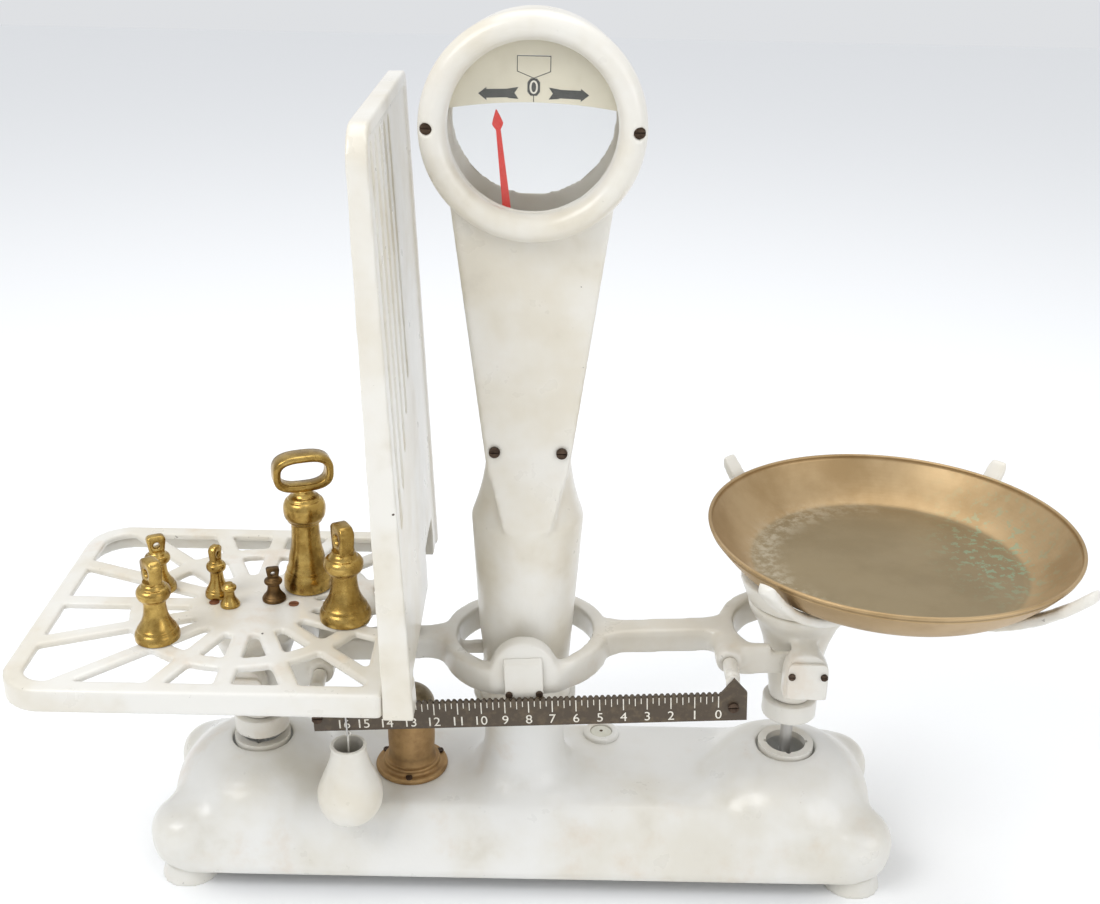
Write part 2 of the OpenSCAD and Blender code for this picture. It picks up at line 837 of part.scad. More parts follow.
function tower_half(z) = panel_bottom_half
  + (panel_top_half - panel_bottom_half) * (z - panel_bottom_z) / (panel_top_z - panel_bottom_z);

module column_solid(inset, bottom) {
  slope = (column_top_r - column_r) / (column_top_z - cup_z);
  rotate_extrude($fn = 96)
    polygon(concat([[0, bottom], [column_r - inset + slope * (bottom - cup_z), bottom],
      [column_top_r - inset, column_top_z - inset]],
      [for (i = [0:arc_steps])
        [panel_bottom_half - inset
          + (column_top_r - panel_bottom_half) * pow(1 - i / arc_steps, 2),
          column_top_z + (panel_bottom_z - column_top_z) * i / arc_steps]],
      [[0, panel_bottom_z]]));
}

module prism_shape(inset) {
  low = panel_bottom_z - 16;
  high = dial_z;
  polygon([[-tower_half(low) + inset, low], [tower_half(low) - inset, low],
    [tower_half(high) - inset, high], [-tower_half(high) + inset, high]]);
}

module facet_wedge(inset) {
  intersection() {
    xprism(-panel_bottom_half, panel_bottom_half)
      polygon([[-facet_front + inset, column_top_z + 2], [0, column_top_z + 2],
        [0, panel_bottom_z], [-panel_front + inset, panel_bottom_z]]);
    yprism(-facet_front - 1, 0)
      polygon([[-facet_half + inset, column_top_z], [facet_half - inset, column_top_z],
        [panel_bottom_half - inset, panel_bottom_z], [-panel_bottom_half + inset, panel_bottom_z]]);
  }
}

module tower_outer() {
  column_solid(0, cup_z - eps);
  yprism(-panel_front, tower_back) prism_shape(0);
  facet_wedge(0);
}

module tower_inner() {
  column_solid(tower_wall, cup_z - cup_recess - eps);
  yprism(-panel_front + tower_wall, tower_back - tower_wall) prism_shape(tower_wall);
  facet_wedge(tower_wall);
  translate([0, 0, dial_z]) ycyl(drum_r - tower_wall, -drum_front + 2 * tower_wall,
    tower_back - 2 * tower_wall);
}

module cover_boss_at(side) {
  translate([side * cover_screw_x, 0, cover_screw_z]) children();
}

module tower_casting() {
  big = 2 * dial_z;
  color(white) placed() {
    difference() {
      union() {
        intersection() {
          tower_outer();
          union() {
            box([-big, 0, 0], [big, big, big]);
            box([-big, -big, 0], [big, big, cover_z]);
          }
        }
        translate([0, 0, dial_z]) ycyl(drum_r, -drum_front, tower_back);
        zcyl(column_flange_r, cup_z - cup_recess, cup_z);
      }
      tower_inner();
      translate([0, 0, dial_z]) {
        ycyl(dial_open_r, -drum_front - eps, tower_back + eps);
        ycyl(glass_r + screw_gap, -drum_front - eps, -glass_y);
        ycyl(glass_r + screw_gap, tower_back - glass_t, tower_back + eps);
      }
      translate([-big, -9, fulcrum_z - 15]) cube([big - crank_len, 20, 31]);
      translate([0, 0, fulcrum_z])
        box([-knife_half, -column_top_r, -knife_h], [knife_half, column_top_r, 1]);
      for (side = [-1, 1])
        translate([side * bezel_screw_x, 0, dial_z])
          ycyl(shank_r + screw_gap, -drum_front - eps, -drum_front + 9);
    }
    difference() {
      translate([0, 0, pointer_z]) ycyl(9, link_y + link_t + 3, tower_back - tower_wall + 1);
      translate([0, 0, pointer_z])
        ycyl(arbor_r + running_gap, 0, tower_back - tower_wall);
    }
    for (side = [-1, 1])
      cover_boss_at(side) difference() {
        ycyl(cover_boss_r, -panel_front + tower_wall, tower_back - tower_wall + 1);
        ycyl(shank_r + screw_gap, -panel_front, -panel_front + 24);
      }
  }
}

module tower_cover() {
  big = 2 * dial_z;
  color(white) placed() difference() {
    intersection() {
      tower_outer();
      box([-big, -big, cover_z], [big, 0, panel_top_z + 12]);
    }
    tower_inner();
    translate([0, 0, dial_z]) ycyl(drum_r + pivot_gap, -big, big);
    for (side = [-1, 1])
      cover_boss_at(side) {
        ycyl(shank_r + screw_gap, -big, 0);
        ycyl(cover_boss_r + screw_gap, -panel_front + tower_wall, 0);
      }
  }
}

module cover_screws() {
  color(dark) placed()
    for (side = [-1, 1])
      cover_boss_at(side) translate([0, -panel_front, 0]) screw_y(head_r, 18);
}

module bezel() {
  mid = (bezel_r + dial_open_r) / 2;
  half = (bezel_r - dial_open_r) / 2;
  color(white) dial_frame() difference() {
    translate([0, -drum_front, 0]) rotate([90, 0, 0]) rotate_extrude($fn = 96)
      polygon(concat([[dial_open_r, 0], [bezel_r, 0], [bezel_r, bezel_depth * 0.25]],
        [for (i = [0:2 * arc_steps])
          [mid + half * cos(90 * i / arc_steps),
            bezel_depth * 0.25 + bezel_depth * 0.75 * sin(90 * i / arc_steps)]],
        [[dial_open_r, bezel_depth * 0.25]]));
    for (side = [-1, 1])
      translate([side * bezel_screw_x, 0, 0]) {
        ycyl(shank_r + screw_gap, -big_y(), 0);
        ycyl(head_r + screw_gap, -big_y(), -drum_front - bezel_depth / 2);
      }
  }
}

function big_y() = drum_front + 3 * bezel_depth;

module bezel_screws() {
  color(dark) dial_frame()
    for (side = [-1, 1])
      translate([side * bezel_screw_x, -drum_front - bezel_depth / 2, 0]) screw_y(head_r, 14);
}

module front_glass() {
  color(glass) dial_frame() ycyl(glass_r, -drum_front, -glass_y);
}

module rear_glass() {
  color(glass) dial_frame() ycyl(glass_r, tower_back - glass_t, tower_back);
}

module dial_plate() {
  outer = drum_r - tower_wall;
  color(cream) dial_frame() {
    yprism(-dial_plate_y, -dial_plate_y + dial_plate_t) difference() {
      circle(r = outer, $fn = 96);
      translate([0, plate_arch_z - plate_arch_r]) circle(r = plate_arch_r, $fn = 96);
      polygon([[-sight_half, sight_top], [0, sight_point], [sight_half, sight_top]]);
    }
  }
}

// ---------------------------------------------------------------- pointer work

module pointer() {
  color(red) pointer_frame() difference() {
    yprism(-pointer_y - pointer_t, -pointer_y) {
      polygon(concat(pointer_half,
        [for (i = [len(pointer_half) - 1:-1:0]) [-pointer_half[i][0], pointer_half[i][1]]]));
      circle(r = 8, $fn = 64);
      translate([0, -22]) circle(r = 7, $fn = 64);
    }
    ycyl(arbor_r - 1 + tight, -pointer_y - pointer_t - 1, 0);
  }
}

module pointer_arbor() {
  color(steel) pointer_frame() {
    ycyl(arbor_r, -pointer_y, tower_back - tower_wall - 1);
    ycyl(arbor_r - 1, -pointer_y - pointer_t, -pointer_y + eps);
    ycyl(arbor_r, -pointer_y - pointer_t - 1.5, -pointer_y - pointer_t);
    box([-crank_len, -2, -3.5], [0, link_y - 1, 3.5]);
    translate([-crank_len, 0, 0]) {
      ycyl(3.5, -2, link_y - 1);
      ycyl(link_pin_r, -2, link_y + link_t + 1);
    }
  }
}

module pointer_link() {
  low = [-link_x * cos_t, fulcrum_z - link_x * sin_t];
  high = [-crank_len * cos(pointer_tilt), pointer_z - crank_len * sin(pointer_tilt)];
  run = high - low;
  len = norm(run);
  color(steel) placed() difference() {
    translate([low[0], link_y, low[1]]) {
      ycyl(link_w, 0, link_t);
      rotate([0, atan2(run[0], run[1]), 0]) {
        box([-link_w / 2, 0, 0], [link_w / 2, link_t, len]);
        translate([0, 0, len]) ycyl(link_w, 0, link_t);
      }
    }
    translate([low[0], 0, low[1]])
      ycyl(link_pin_r + running_gap, link_y - 1, link_y + link_t + 1);
    translate([high[0], 0, high[1]])
      ycyl(link_pin_r + pivot_gap, link_y - 1, link_y + link_t + 1);
  }
}

// ---------------------------------------------------------------- beam

module arm_shape() {
  root = ring_r - 5;
  far = beam_arm - end_r + 5;
  polygon([[root - 6, -arm_root_half], [root + 16, -arm_half], [far - 16, -arm_half],
    [far + 6, -arm_root_half], [far + 6, arm_root_half], [far - 16, arm_half],
    [root + 16, arm_half], [root - 6, arm_root_half]]);
}

module arch_block(r, z, low, y0, y1) {
  translate([0, 0, z]) ycyl(r, y0, y1);
  box([-r, y0, low], [r, y1, z]);
}

module end_ring() {
  intersection() {
    zcyl(end_r, end_bottom, beam_top);
    box([-end_r, -end_bar_front, end_bottom], [end_tip, end_r, beam_top]);
  }
}

module end_ring_hole() {
  intersection() {
    zcyl(end_hole_r, end_bottom - 1, beam_top + 1);
    box([-end_r, -end_bar_front + end_bar_t, end_bottom - 1], [end_r, end_r, beam_top + 1]);
  }
  box([-26, -end_bar_front - 1, end_bar_top], [26, -end_bar_front + end_bar_t + 1, beam_top + 1]);
}

module beam_casting() {
  color(white) beam_frame() difference() {
    union() {
      difference() {
        union() {
          intersection() {
            zcyl(ring_r, ring_bottom, beam_top);
            box([-ring_r, -arch_front, ring_bottom], [ring_r, arch_front, beam_top]);
          }
          arch_block(arch_r, arch_z, ring_bottom, -arch_front, -arch_back);
          arch_block(arch_r, arch_z, ring_bottom, arch_back, arch_front);
        }
        intersection() {
          zcyl(ring_hole_r, ring_bottom - 1, arch_z + arch_r);
          box([-ring_r, -arch_back, ring_bottom - 1], [ring_r, arch_back, arch_z + arch_r]);
        }
      }
      for (side = [-1, 1]) {
        translate([0, 0, arm_bottom]) linear_extrude(height = arm_depth)
          mirror([side < 0 ? 1 : 0, 0]) arm_shape();
        translate([side * beam_arm, 0, 0]) mirror([side < 0 ? 1 : 0, 0]) end_ring();
        translate([side * hanger_x, 0, hanger_boss_z])
          ycyl(hanger_boss_r, -hanger_boss_front, -arm_half + 1);
      }
      box([-ring_hole_r - 2, -6, -6], [-link_x + 6, 2, 6]);
    }
    for (side = [-1, 1]) {
      translate([side * beam_arm, 0, 0]) {
        end_ring_hole();
        yprism(-end_bar_front - 1, end_r + 1) knife_slot_shape();
      }
      translate([side * hanger_x, 0, hanger_boss_z])
        ycyl(hanger_rod_r + screw_gap, -hanger_boss_front - 1, -hanger_boss_front + 16);
    }
    for (side = [-1, 1])
      translate([side * cap_screw_x, 0, -cap_screw_drop])
        ycyl(shank_r - 1 + screw_gap, -arch_front - 1, -arch_front + 10);
    box([-bearing_half, -arch_front - 1, arch_z - arch_r - 1],
      [bearing_half, -arch_back + 1, bearing_top]);
    box([-bearing_half, arch_back - 1, arch_z - arch_r - 1],
      [bearing_half, arch_front - cap_t + 2, bearing_top]);
    translate([-dashpot_x, 0, 0]) {
      box([-9, -4, arm_bottom - 1], [9, 4, beam_top + 1]);
      ycyl(plunger_rod_r + screw_gap, -arm_root_half, arm_root_half);
    }
    translate([-link_x, 0, 0]) ycyl(link_pin_r + screw_gap, -7, 3);
  }
}

module knife_slot_shape() {
  polygon([[-knife_half, end_bottom - 1], [knife_half, end_bottom - 1],
    [knife_half, -knife_rise], [0, 0], [-knife_half, -knife_rise]]);
}

module bearing_shape() {
  difference() {
    polygon([[-bearing_half, -2], [bearing_half, -2], [bearing_half, bearing_top],
      [-bearing_half, bearing_top]]);
    notch_shape(bearing_half - 2, 3);
  }
}

module fulcrum_bearings() {
  color(steel) beam_frame() {
    yprism(-arch_front, -arch_back) bearing_shape();
    yprism(arch_back, arch_front - cap_t + 2) bearing_shape();
  }
}

module end_knife_shape() {
  polygon([[-knife_half, end_bottom], [knife_half, end_bottom], [knife_half, -knife_rise],
    [0, 0], [-knife_half, -knife_rise]]);
}

module end_knives() {
  color(steel) beam_frame()
    for (side = [-1, 1])
      translate([side * beam_arm, 0, 0]) {
        yprism(-block_front + 4, -end_bar_front + end_bar_t) end_knife_shape();
        yprism(lug_back - 14, end_r - 2) end_knife_shape();
      }
}

module fulcrum_cap() {
  low = ring_bottom - 1;
  color(white) beam_frame() difference() {
    xprism(-cap_half, cap_half)
      polygon([[-arch_front, low], [-arch_front - cap_t, low], [-arch_front - cap_t, cap_top - 5],
        [-arch_front, cap_top]]);
    for (side = [-1, 1])
      translate([side * cap_screw_x, 0, -cap_screw_drop])
        ycyl(shank_r - 1 + screw_gap, -arch_front - cap_t - 1, 0);
  }
}

module fulcrum_cap_screws() {
  r = 2.9;
  h = 1.3;
  color(dark) beam_frame()
    for (side = [-1, 1])
      translate([side * cap_screw_x, -arch_front - cap_t, -cap_screw_drop]) {
        difference() {
          ycyl(r, -h, 0);
          box([-r, -h - eps, -slot_w / 2], [r, -h + slot_d / 2, slot_w / 2]);
        }
        ycyl(shank_r - 1, -eps, cap_t + 8);
      }
}

module bar_hangers() {
  color(white) beam_frame()
    for (side = [-1, 1])
      translate([side * hanger_x, 0, 0]) difference() {
        union() {
          translate([0, 0, hanger_boss_z])
            ycyl(hanger_rod_r, -bar_back + 1, -hanger_boss_front + 15);
          translate([0, 0, hanger_boss_z])
            ycyl(hanger_rod_r + 2, -bar_back + hanger_t, -hanger_boss_front);
          box([-hanger_w / 2, -bar_back, bar_mid - 6],
            [hanger_w / 2, -bar_back + hanger_t, side > 0 ? bar_peak - 4 : -bar_drop - 3]);
          box([-3, -bar_back, bar_mid - 6], [3, -bar_back + hanger_t, hanger_boss_z]);
        }
        translate([0, 0, bar_mid]) ycyl(shank_r + screw_gap, -bar_back - 1, 0);
      }
}

module graduated_bar() {
  top = -bar_drop;
  low = -bar_drop - bar_h;
  notch = notch_pitch / 3;
  color(dark) beam_frame() difference() {
    yprism(-bar_front, -bar_back)
      polygon(concat(
        [[-bar_left, low], [-bar_left, top]],
        [for (i = [notch_count:-1:0])
          for (k = [-1, 0, 1])
            [bar_zero - i * notch_pitch + k * notch, k == 0 ? top - notch_depth : top]],
        [[bar_zero + notch_pitch / 2, top], [(bar_zero + notch_pitch / 2 + bar_right) / 2, bar_peak],
          [bar_right, top], [bar_right, low]]));
    for (side = [-1, 1])
      translate([side * hanger_x, 0, bar_mid])
        ycyl(shank_r + screw_gap, -bar_front - 1, -bar_back + 1);
  }
}

module bar_screws() {
  color(dark) beam_frame()
    for (side = [-1, 1])
      translate([side * hanger_x, -bar_front, bar_mid]) screw_y(head_r, bar_t + hanger_t);
}

module headed_pin(r, y0, y1) {
  ycyl(r, y0 - eps, y1);
  ycyl(r + 2, y0 - pin_head_t, y0);
}

module beam_pins() {
  color(steel) beam_frame() {
    translate([-link_x, 0, 0]) headed_pin(link_pin_r, -6, link_y + link_t + 1);
    translate([-dashpot_x, 0, 0]) headed_pin(plunger_rod_r, -arm_half, arm_half);
  }
}

// ---------------------------------------------------------------- poise

module poise_hook() {
  color(steel) beam_frame() translate([poise_x, 0, 0]) {
    translate([0, -wire_front, 0]) zcyl(wire_r, cross_z, wire_top);
    translate([0, -wire_back, 0]) zcyl(wire_r, cross_z, wire_top);
    translate([0, 0, wire_top]) ycyl(wire_r, -wire_front - wire_r, -wire_back + wire_r);
    translate([0, 0, cross_z]) ycyl(wire_r, -wire_front - wire_r, -wire_back + wire_r);
  }
}

module poise_profile(inset) {
  low = -poise_cup_top - poise_cup_h;
  belly = -poise_cup_top - 0.63 * poise_cup_h;
  mouth = poise_mouth_r - inset;
  wide = poise_belly_r - inset;
  polygon(concat([[0, -poise_cup_top + inset * eps], [mouth, -poise_cup_top + inset * eps]],
    [for (i = [1:arc_steps])
      [mouth + (wide - mouth) * (1 - cos(180 * i / arc_steps)) / 2,
        -poise_cup_top + (belly + poise_cup_top) * i / arc_steps]],
    [for (i = [1:arc_steps])
      [8 + (wide - 8) * cos(90 * i / arc_steps),
        belly + (low + 2 * inset - belly) * sin(90 * i / arc_steps)]],
    [[0, low + 2 * inset]]));
}

module poise_cup() {
  wire_y = (wire_front + wire_back) / 2;
  loop_r = 2 * wire_r + pivot_gap;
  low = -poise_cup_top - poise_cup_h;
  color(white) beam_frame() translate([poise_x, -wire_y, cross_z]) rotate([0, rest_tilt, 0]) {
    rotate([90, 0, 0]) rotate_extrude($fn = 64)
      translate([loop_r, 0]) circle(r = wire_r, $fn = 32);
    zcyl(wire_r, low + poise_wall, -loop_r);
    difference() {
      rotate_extrude($fn = 96) poise_profile(0);
      rotate_extrude($fn = 96) poise_profile(poise_wall);
    }
  }
}

// ---------------------------------------------------------------- lower check beam

module check_beam() {
  fork = beam_arm - fork_len + 8;
  color(steel) placed() translate([0, 0, check_z]) rotate([0, -rest_tilt, 0]) difference() {
    union() {
      box([-fork, -check_half, -check_half_h], [fork, check_half, check_half_h]);
      ycyl(11, -check_half, check_half);
      for (side = [-1, 1])
        translate([side * beam_arm, 0, 0]) {
          ycyl(8, -fork_out, fork_out);
          translate([side > 0 ? -fork_len : 0, -fork_out, -check_half_h])
            cube([fork_len, 2 * fork_out, 2 * check_half_h]);
        }
    }
    ycyl(check_centre_r + running_gap, -check_half - 1, check_half + 1);
    for (side = [-1, 1])
      translate([side * beam_arm, 0, 0]) {
        box([-fork_len / 2 - 1, -fork_in, -12], [fork_len / 2 + 1, fork_in, 12]);
        ycyl(check_pin_r + screw_gap, -fork_out - 1, fork_out + 1);
      }
  }
}

module check_pins() {
  color(steel) placed() translate([0, 0, check_z]) rotate([0, -rest_tilt, 0])
    for (side = [-1, 1])
      translate([side * beam_arm, 0, 0]) headed_pin(check_pin_r, -fork_out, fork_out);
}

// ---------------------------------------------------------------- stems

module hub(top) {
  collar = end_bar_top + bridge_gap;
  difference() {
    union() {
      rotate_extrude($fn = 96)
        polygon([[0, -hub_foot], [hub_waist_r, -hub_foot], [hub_waist_r, -hub_foot + 8],
          [hub_mid_r - 5, -hub_foot + 34], [hub_mid_r, 0], [hub_mid_r + 4, 11],
          [hub_top_r - 8, 19], [hub_top_r - 3, 26], [hub_top_r, top - 4], [hub_top_r, top],
          [0, top]]);
      arch_block(block_half, 0, -block_drop, -block_front, -block_back);
      intersection() {
        arch_block(block_half, 0, -block_drop, -block_front, 0);
        box([-block_half, -block_front, collar], [block_half, 0, block_half + 1]);
      }
      box([-lug_half, 0, -knife_rise / 2], [lug_half, lug_back, beam_top]);
    }
    zcyl(hub_hollow_r, -block_drop / 2, top + 1);
    yprism(-block_front - 1, -block_back + 1) notch_shape(8, 16);
    yprism(lug_back - 16, lug_back + 1) notch_shape(8, 16);
    zcyl(rod_r + running_gap, -hub_foot - 1, -hub_foot + 18);
    for (side = [-1, 1]) {
      translate([side * block_screw_x, 0, 0])
        ycyl(shank_r - 1 + screw_gap, -block_front - 1, -block_front + 10);
      translate([side * plate_screw_x, 0, 0]) zcyl(shank_r + screw_gap, top - 14, top + 1);
    }
  }
}

module block_cover() {
  difference() {
    yprism(-block_front - block_cover_t, -block_front)
      rounded([-block_cover_half, -block_drop + 3], [block_cover_half, block_half - 7], 5);
    for (side = [-1, 1])
      translate([side * block_screw_x, 0, 0])
        ycyl(shank_r - 1 + screw_gap, -block_front - block_cover_t - 1, 0);
  }
}

module block_cover_screws() {
  r = 2.9;
  for (side = [-1, 1])
    translate([side * block_screw_x, -block_front - block_cover_t, 0]) {
      difference() {
        ycyl(r, -head_h + 0.6, 0);
        box([-r, -head_h, -slot_w / 2], [r, -head_h + slot_d, slot_w / 2]);
      }
      ycyl(shank_r - 1, -eps, block_cover_t + 8);
    }
}

module stem_rod() {
  difference() {
    union() {
      zcyl(rod_r, -stem_drop, -hub_foot + 18);
      translate([0, 0, -stem_drop]) ycyl(rod_foot_r, -rod_foot_half, rod_foot_half);
    }
    translate([0, 0, -stem_drop])
      ycyl(check_pin_r + pivot_gap, -rod_foot_r - 1, rod_foot_r + 1);
    for (side = [-1, 1])
      translate([-rod_foot_r, side > 0 ? rod_foot_half : -rod_foot_half - 4, -stem_drop - 4])
        cube([2 * rod_foot_r, 4, 16]);
  }
}

module skirt() {
  difference() {
    zcyl(skirt_r, -hub_foot - skirt_h, -hub_foot);
    zcyl(skirt_r - skirt_wall, -hub_foot - skirt_h - 1, -hub_foot - skirt_wall);
    zcyl(rod_r + running_gap, -hub_foot - skirt_h, -hub_foot + 1);
  }
}

module goods_hub() {
  color(white) goods_frame() hub(plate_z);
}

module goods_cover() {
  color(white) goods_frame() block_cover();
}

module goods_cover_screws() {
  color(dark) goods_frame() block_cover_screws();
}

module goods_rod() {
  color(steel) goods_frame() stem_rod();
}

module goods_skirt() {
  color(white) goods_frame() skirt();
}

module pan_hub() {
  color(white) pan_frame() hub(pan_hub_top);
}

module pan_cover() {
  color(white) pan_frame() block_cover();
}

module pan_cover_screws() {
  color(dark) pan_frame() block_cover_screws();
}

module pan_rod() {
  color(steel) pan_frame() stem_rod();
}

module pan_skirt() {
  color(white) pan_frame() skirt();
}

// ---------------------------------------------------------------- platform and guard

module slot_ring(r0, r1, outline) {
  difference() {
    intersection() {
      difference() {
        circle(r = r1, $fn = 96);
        circle(r = r0, $fn = 96);
      }
      children();
    }
    for (i = [0:slot_count / 2 - 1])
      rotate(360 * i / slot_count) square([2 * r1 + 2, rib_w], center = true);
  }
}

module plate_shape(inset) {
  rounded([-plate_out + inset, -plate_half + inset], [0, plate_half - inset],
    plate_corner - inset);
  rounded([-plate_out / 2, -plate_half + inset], [plate_in - inset, plate_half - inset],
    plate_in_corner);
}
module platform() {
  far = plate_out + plate_half;
  color(white) goods_frame() difference() {
    translate([0, 0, plate_top - plate_rim_h]) linear_extrude(height = plate_rim_h)
      plate_shape(0);
    translate([0, 0, plate_top - plate_rim_h - 1]) linear_extrude(height = plate_rim_h - plate_t + 1)
      plate_shape(plate_rim_t);
    translate([0, 0, plate_z - 1]) linear_extrude(height = plate_t + 2) {
      slot_ring(slot_in_r, slot_mid_r)
        square(4 * slot_mid_r, center = true);
      slot_ring(slot_out_r, far)
        plate_shape(plate_border);
    }
    for (side = [-1, 1])
      translate([side * plate_screw_x, 0, 0]) {
        zcyl(shank_r + screw_gap, 0, plate_top + 1);
        zcyl(head_r + screw_gap, plate_top - head_h, plate_top + 1);
      }
    for (side = [-1, 1])
      translate([0, bracket_y + side * bracket_half * 0.6, plate_top - plate_rim_h / 2])
        xcyl(shank_r - 1 + screw_gap, 0, plate_in + 1);
  }
}

module platform_screws() {
  color(dark) goods_frame()
    for (side = [-1, 1])
      translate([side * plate_screw_x, 0, plate_top - head_h]) screw_z(head_r, plate_t + 8);
}

module guard_outline(inset) {
  top = 2 * guard_h - inset;
  translate([0, -guard_h]) {
    rounded([-guard_front + inset, 0], [0, top], guard_corner - inset);
    rounded([-guard_front / 2, 0], [guard_back - inset, top], guard_back_corner);
  }
}

module guard_slot(i) {
  z0 = guard_slot_z + guard_slot_rise * i;
  z1 = guard_h - guard_rim - 6;
  half = guard_slot_w / 2;
  translate([guard_slot_y + guard_slot_pitch * i, 0])
    polygon([[-half, z0 + half], [0, z0], [half, z0 + half], [half, z1 - half], [0, z1],
      [-half, z1 - half]]);
}

module guard() {
  foot_len = plate_rim_h + 2;
  color(white) difference() {
    guard_frame() difference() {
      intersection() {
        xprism(-10, guard_foot_t + 10) guard_outline(0);
        yprism(-guard_front - 1, guard_back + 1)
          polygon([[-1, -foot_len], [guard_foot_t, -foot_len], [guard_top_t, guard_h],
            [0, guard_h], [0, 0], [-1, -1]]);
      }
      intersection() {
        xprism(guard_web, 2 * guard_foot_t) guard_outline(guard_rim);
        yprism(-guard_front, guard_back)
          polygon([[guard_foot_t - guard_recess, 0], [2 * guard_foot_t, 0],
            [2 * guard_foot_t, guard_h], [guard_top_t - guard_recess, guard_h]]);
      }
      box([guard_web, bracket_y - bracket_half - 2, -2],
        [2 * guard_foot_t, bracket_y + bracket_half + 2, bracket_h + 2]);
      xprism(-10, 2 * guard_foot_t)
        for (i = [0:guard_slots - 1]) guard_slot(i);
      box([-10, -guard_front + 26, -foot_len - 5], [2 * guard_foot_t, guard_back + 1, 0]);
      for (side = [-1, 1])
        translate([0, bracket_y + side * bracket_half * 0.6, bracket_h * 0.6])
          xcyl(shank_r - 1 + screw_gap, -10, guard_web + 2);
    }
    goods_frame()
      box([guard_x - 40, -2 * guard_front, plate_top - 60], [guard_x, 2 * guard_front, plate_top]);
  }
}

module guard_bracket() {
  color(white) goods_frame() difference() {
    union() {
      translate([guard_x, 0, plate_top]) rotate([0, -guard_lean, 0])
        box([guard_web, bracket_y - bracket_half, -4],
          [guard_web + bracket_t, bracket_y + bracket_half, bracket_h]);
      box([guard_x, bracket_y - bracket_half, plate_top - plate_rim_h],
        [guard_x + guard_web + bracket_t, bracket_y + bracket_half, plate_top - 1]);
    }
    for (side = [-1, 1]) {
      translate([0, bracket_y + side * bracket_half * 0.6, plate_top - plate_rim_h / 2])
        xcyl(shank_r - 1 + screw_gap, guard_x - 5, guard_x + 3 * guard_web);
      translate([guard_x, 0, plate_top]) rotate([0, -guard_lean, 0])
        translate([0, bracket_y + side * bracket_half * 0.6, bracket_h * 0.6])
          xcyl(shank_r - 1 + screw_gap, 0, 3 * guard_web);
    }
  }
}

module small_screw_x(len) {
  difference() {
    xcyl(head_r - 1, 0, head_h);
    box([head_h - slot_d, -slot_w / 2, -head_r], [head_h + eps, slot_w / 2, head_r]);
  }
  xcyl(shank_r - 1, -len, eps);
}

module bracket_screws() {
  color(steel)
    for (side = [-1, 1]) {
      goods_frame()
        translate([guard_x + guard_web + bracket_t, bracket_y + side * bracket_half * 0.6,
          plate_top - plate_rim_h / 2])
          small_screw_x(guard_web + bracket_t + plate_rim_t - 1);
      guard_frame()
        translate([guard_web + bracket_t, bracket_y + side * bracket_half * 0.6, bracket_h * 0.6])
          small_screw_x(guard_web + bracket_t - 0.5);
    }
}

// ---------------------------------------------------------------- pan and spider

module pan() {
  rim = [pan_rim_r, pan_depth];
  wall = [for (i = [0:arc_steps])
    [pan_floor_r + (pan_rim_r - pan_t - pan_floor_r) * pow(i / arc_steps, 0.8),
      pan_depth * pow(i / arc_steps, 1.25)]];
  color(bronze) pan_centre() {
    rotate_extrude($fn = 128)
      polygon(concat([[0, 0]], wall,
        [for (i = [arc_steps:-1:0]) wall[i] + [pan_t, -pan_t]], [[0, -pan_t]]));
    rotate_extrude($fn = 128)
      translate(rim - [pan_bead_r, 0]) circle(r = pan_bead_r, $fn = 32);
  }
}

module spider_arm_shape() {
  post = -pan_t;
  floor_z = pan_hub_top - pan_floor;
  tip = [spider_tip_r, spider_tip_z];
  n = arc_steps;
  low = [for (i = [0:n])
    [spider_post_r / 2 + (tip[0] - spider_post_r / 2) * i / n,
      floor_z + 1 + (tip[1] - floor_z) * pow(i / n, 2.6)]];
  polygon(concat(low,
    [for (i = [n:-1:0]) low[i] + [-spider_t * 0.45 * i / n, spider_t * (1 - 0.25 * i / n)]]));
}

module pan_spider() {
  top = pan_hub_top + spider_flange_h;
  color(white) pan_frame() difference() {
    union() {
      cylinder_between(hub_top_r, spider_flange_r, pan_hub_top, top);
      box([0, -22, pan_hub_top + 1], [pan_x, 22, top - 4]);
      translate([pan_x, 0, 0]) zcyl(spider_post_r, pan_hub_top + 1, pan_floor - pan_t);
      for (a = [45:90:315])
        translate([pan_x, 0, pan_floor]) rotate([0, 0, a]) {
          intersection() {
            yprism(-spider_w / 2, spider_w / 2) spider_arm_shape();
            translate([0, 0, -pan_floor]) linear_extrude(height = 2 * pan_floor) {
              translate([0, -spider_w / 2]) square([spider_tip_r - spider_w / 2, spider_w]);
              translate([spider_tip_r - spider_w / 2, 0]) circle(r = spider_w / 2, $fn = 48);
            }
          }
        }
    }
    zcyl(spider_flange_r - 24, pan_hub_top + 7, top + 20);
    for (side = [-1, 1])
      translate([side * plate_screw_x, 0, 0]) {
        zcyl(shank_r + screw_gap, pan_hub_top - 1, top + 1);
        zcyl(head_r + 2, pan_hub_top + 7, top + 20);
      }
  }
}

module cylinder_between(r0, r1, z0, z1) {
  translate([0, 0, z0]) cylinder(r1 = r0, r2 = r1, h = z1 - z0, $fn = 96);
}

module spider_screws() {
  color(dark) pan_frame()
    for (side = [-1, 1])
      translate([side * plate_screw_x, 0, pan_hub_top + 7]) screw_z(head_r, 7 + 10);
}

// ---------------------------------------------------------------- dashpot and level

module dashpot_cylinder() {
  color(gold) dashpot_frame() difference() {
    union() {
      zcyl(dashpot_flange_r, 0, dashpot_flange_t);
      zcyl(dashpot_r + dashpot_step_w, 0, dashpot_flange_t + dashpot_step);
      zcyl(dashpot_r, 0, dashpot_h);
    }
    zcyl(dashpot_bore_r, dashpot_flange_t, dashpot_h + 1);
    translate([0, 0, -base_top_z]) dashpot_holes();
  }
}

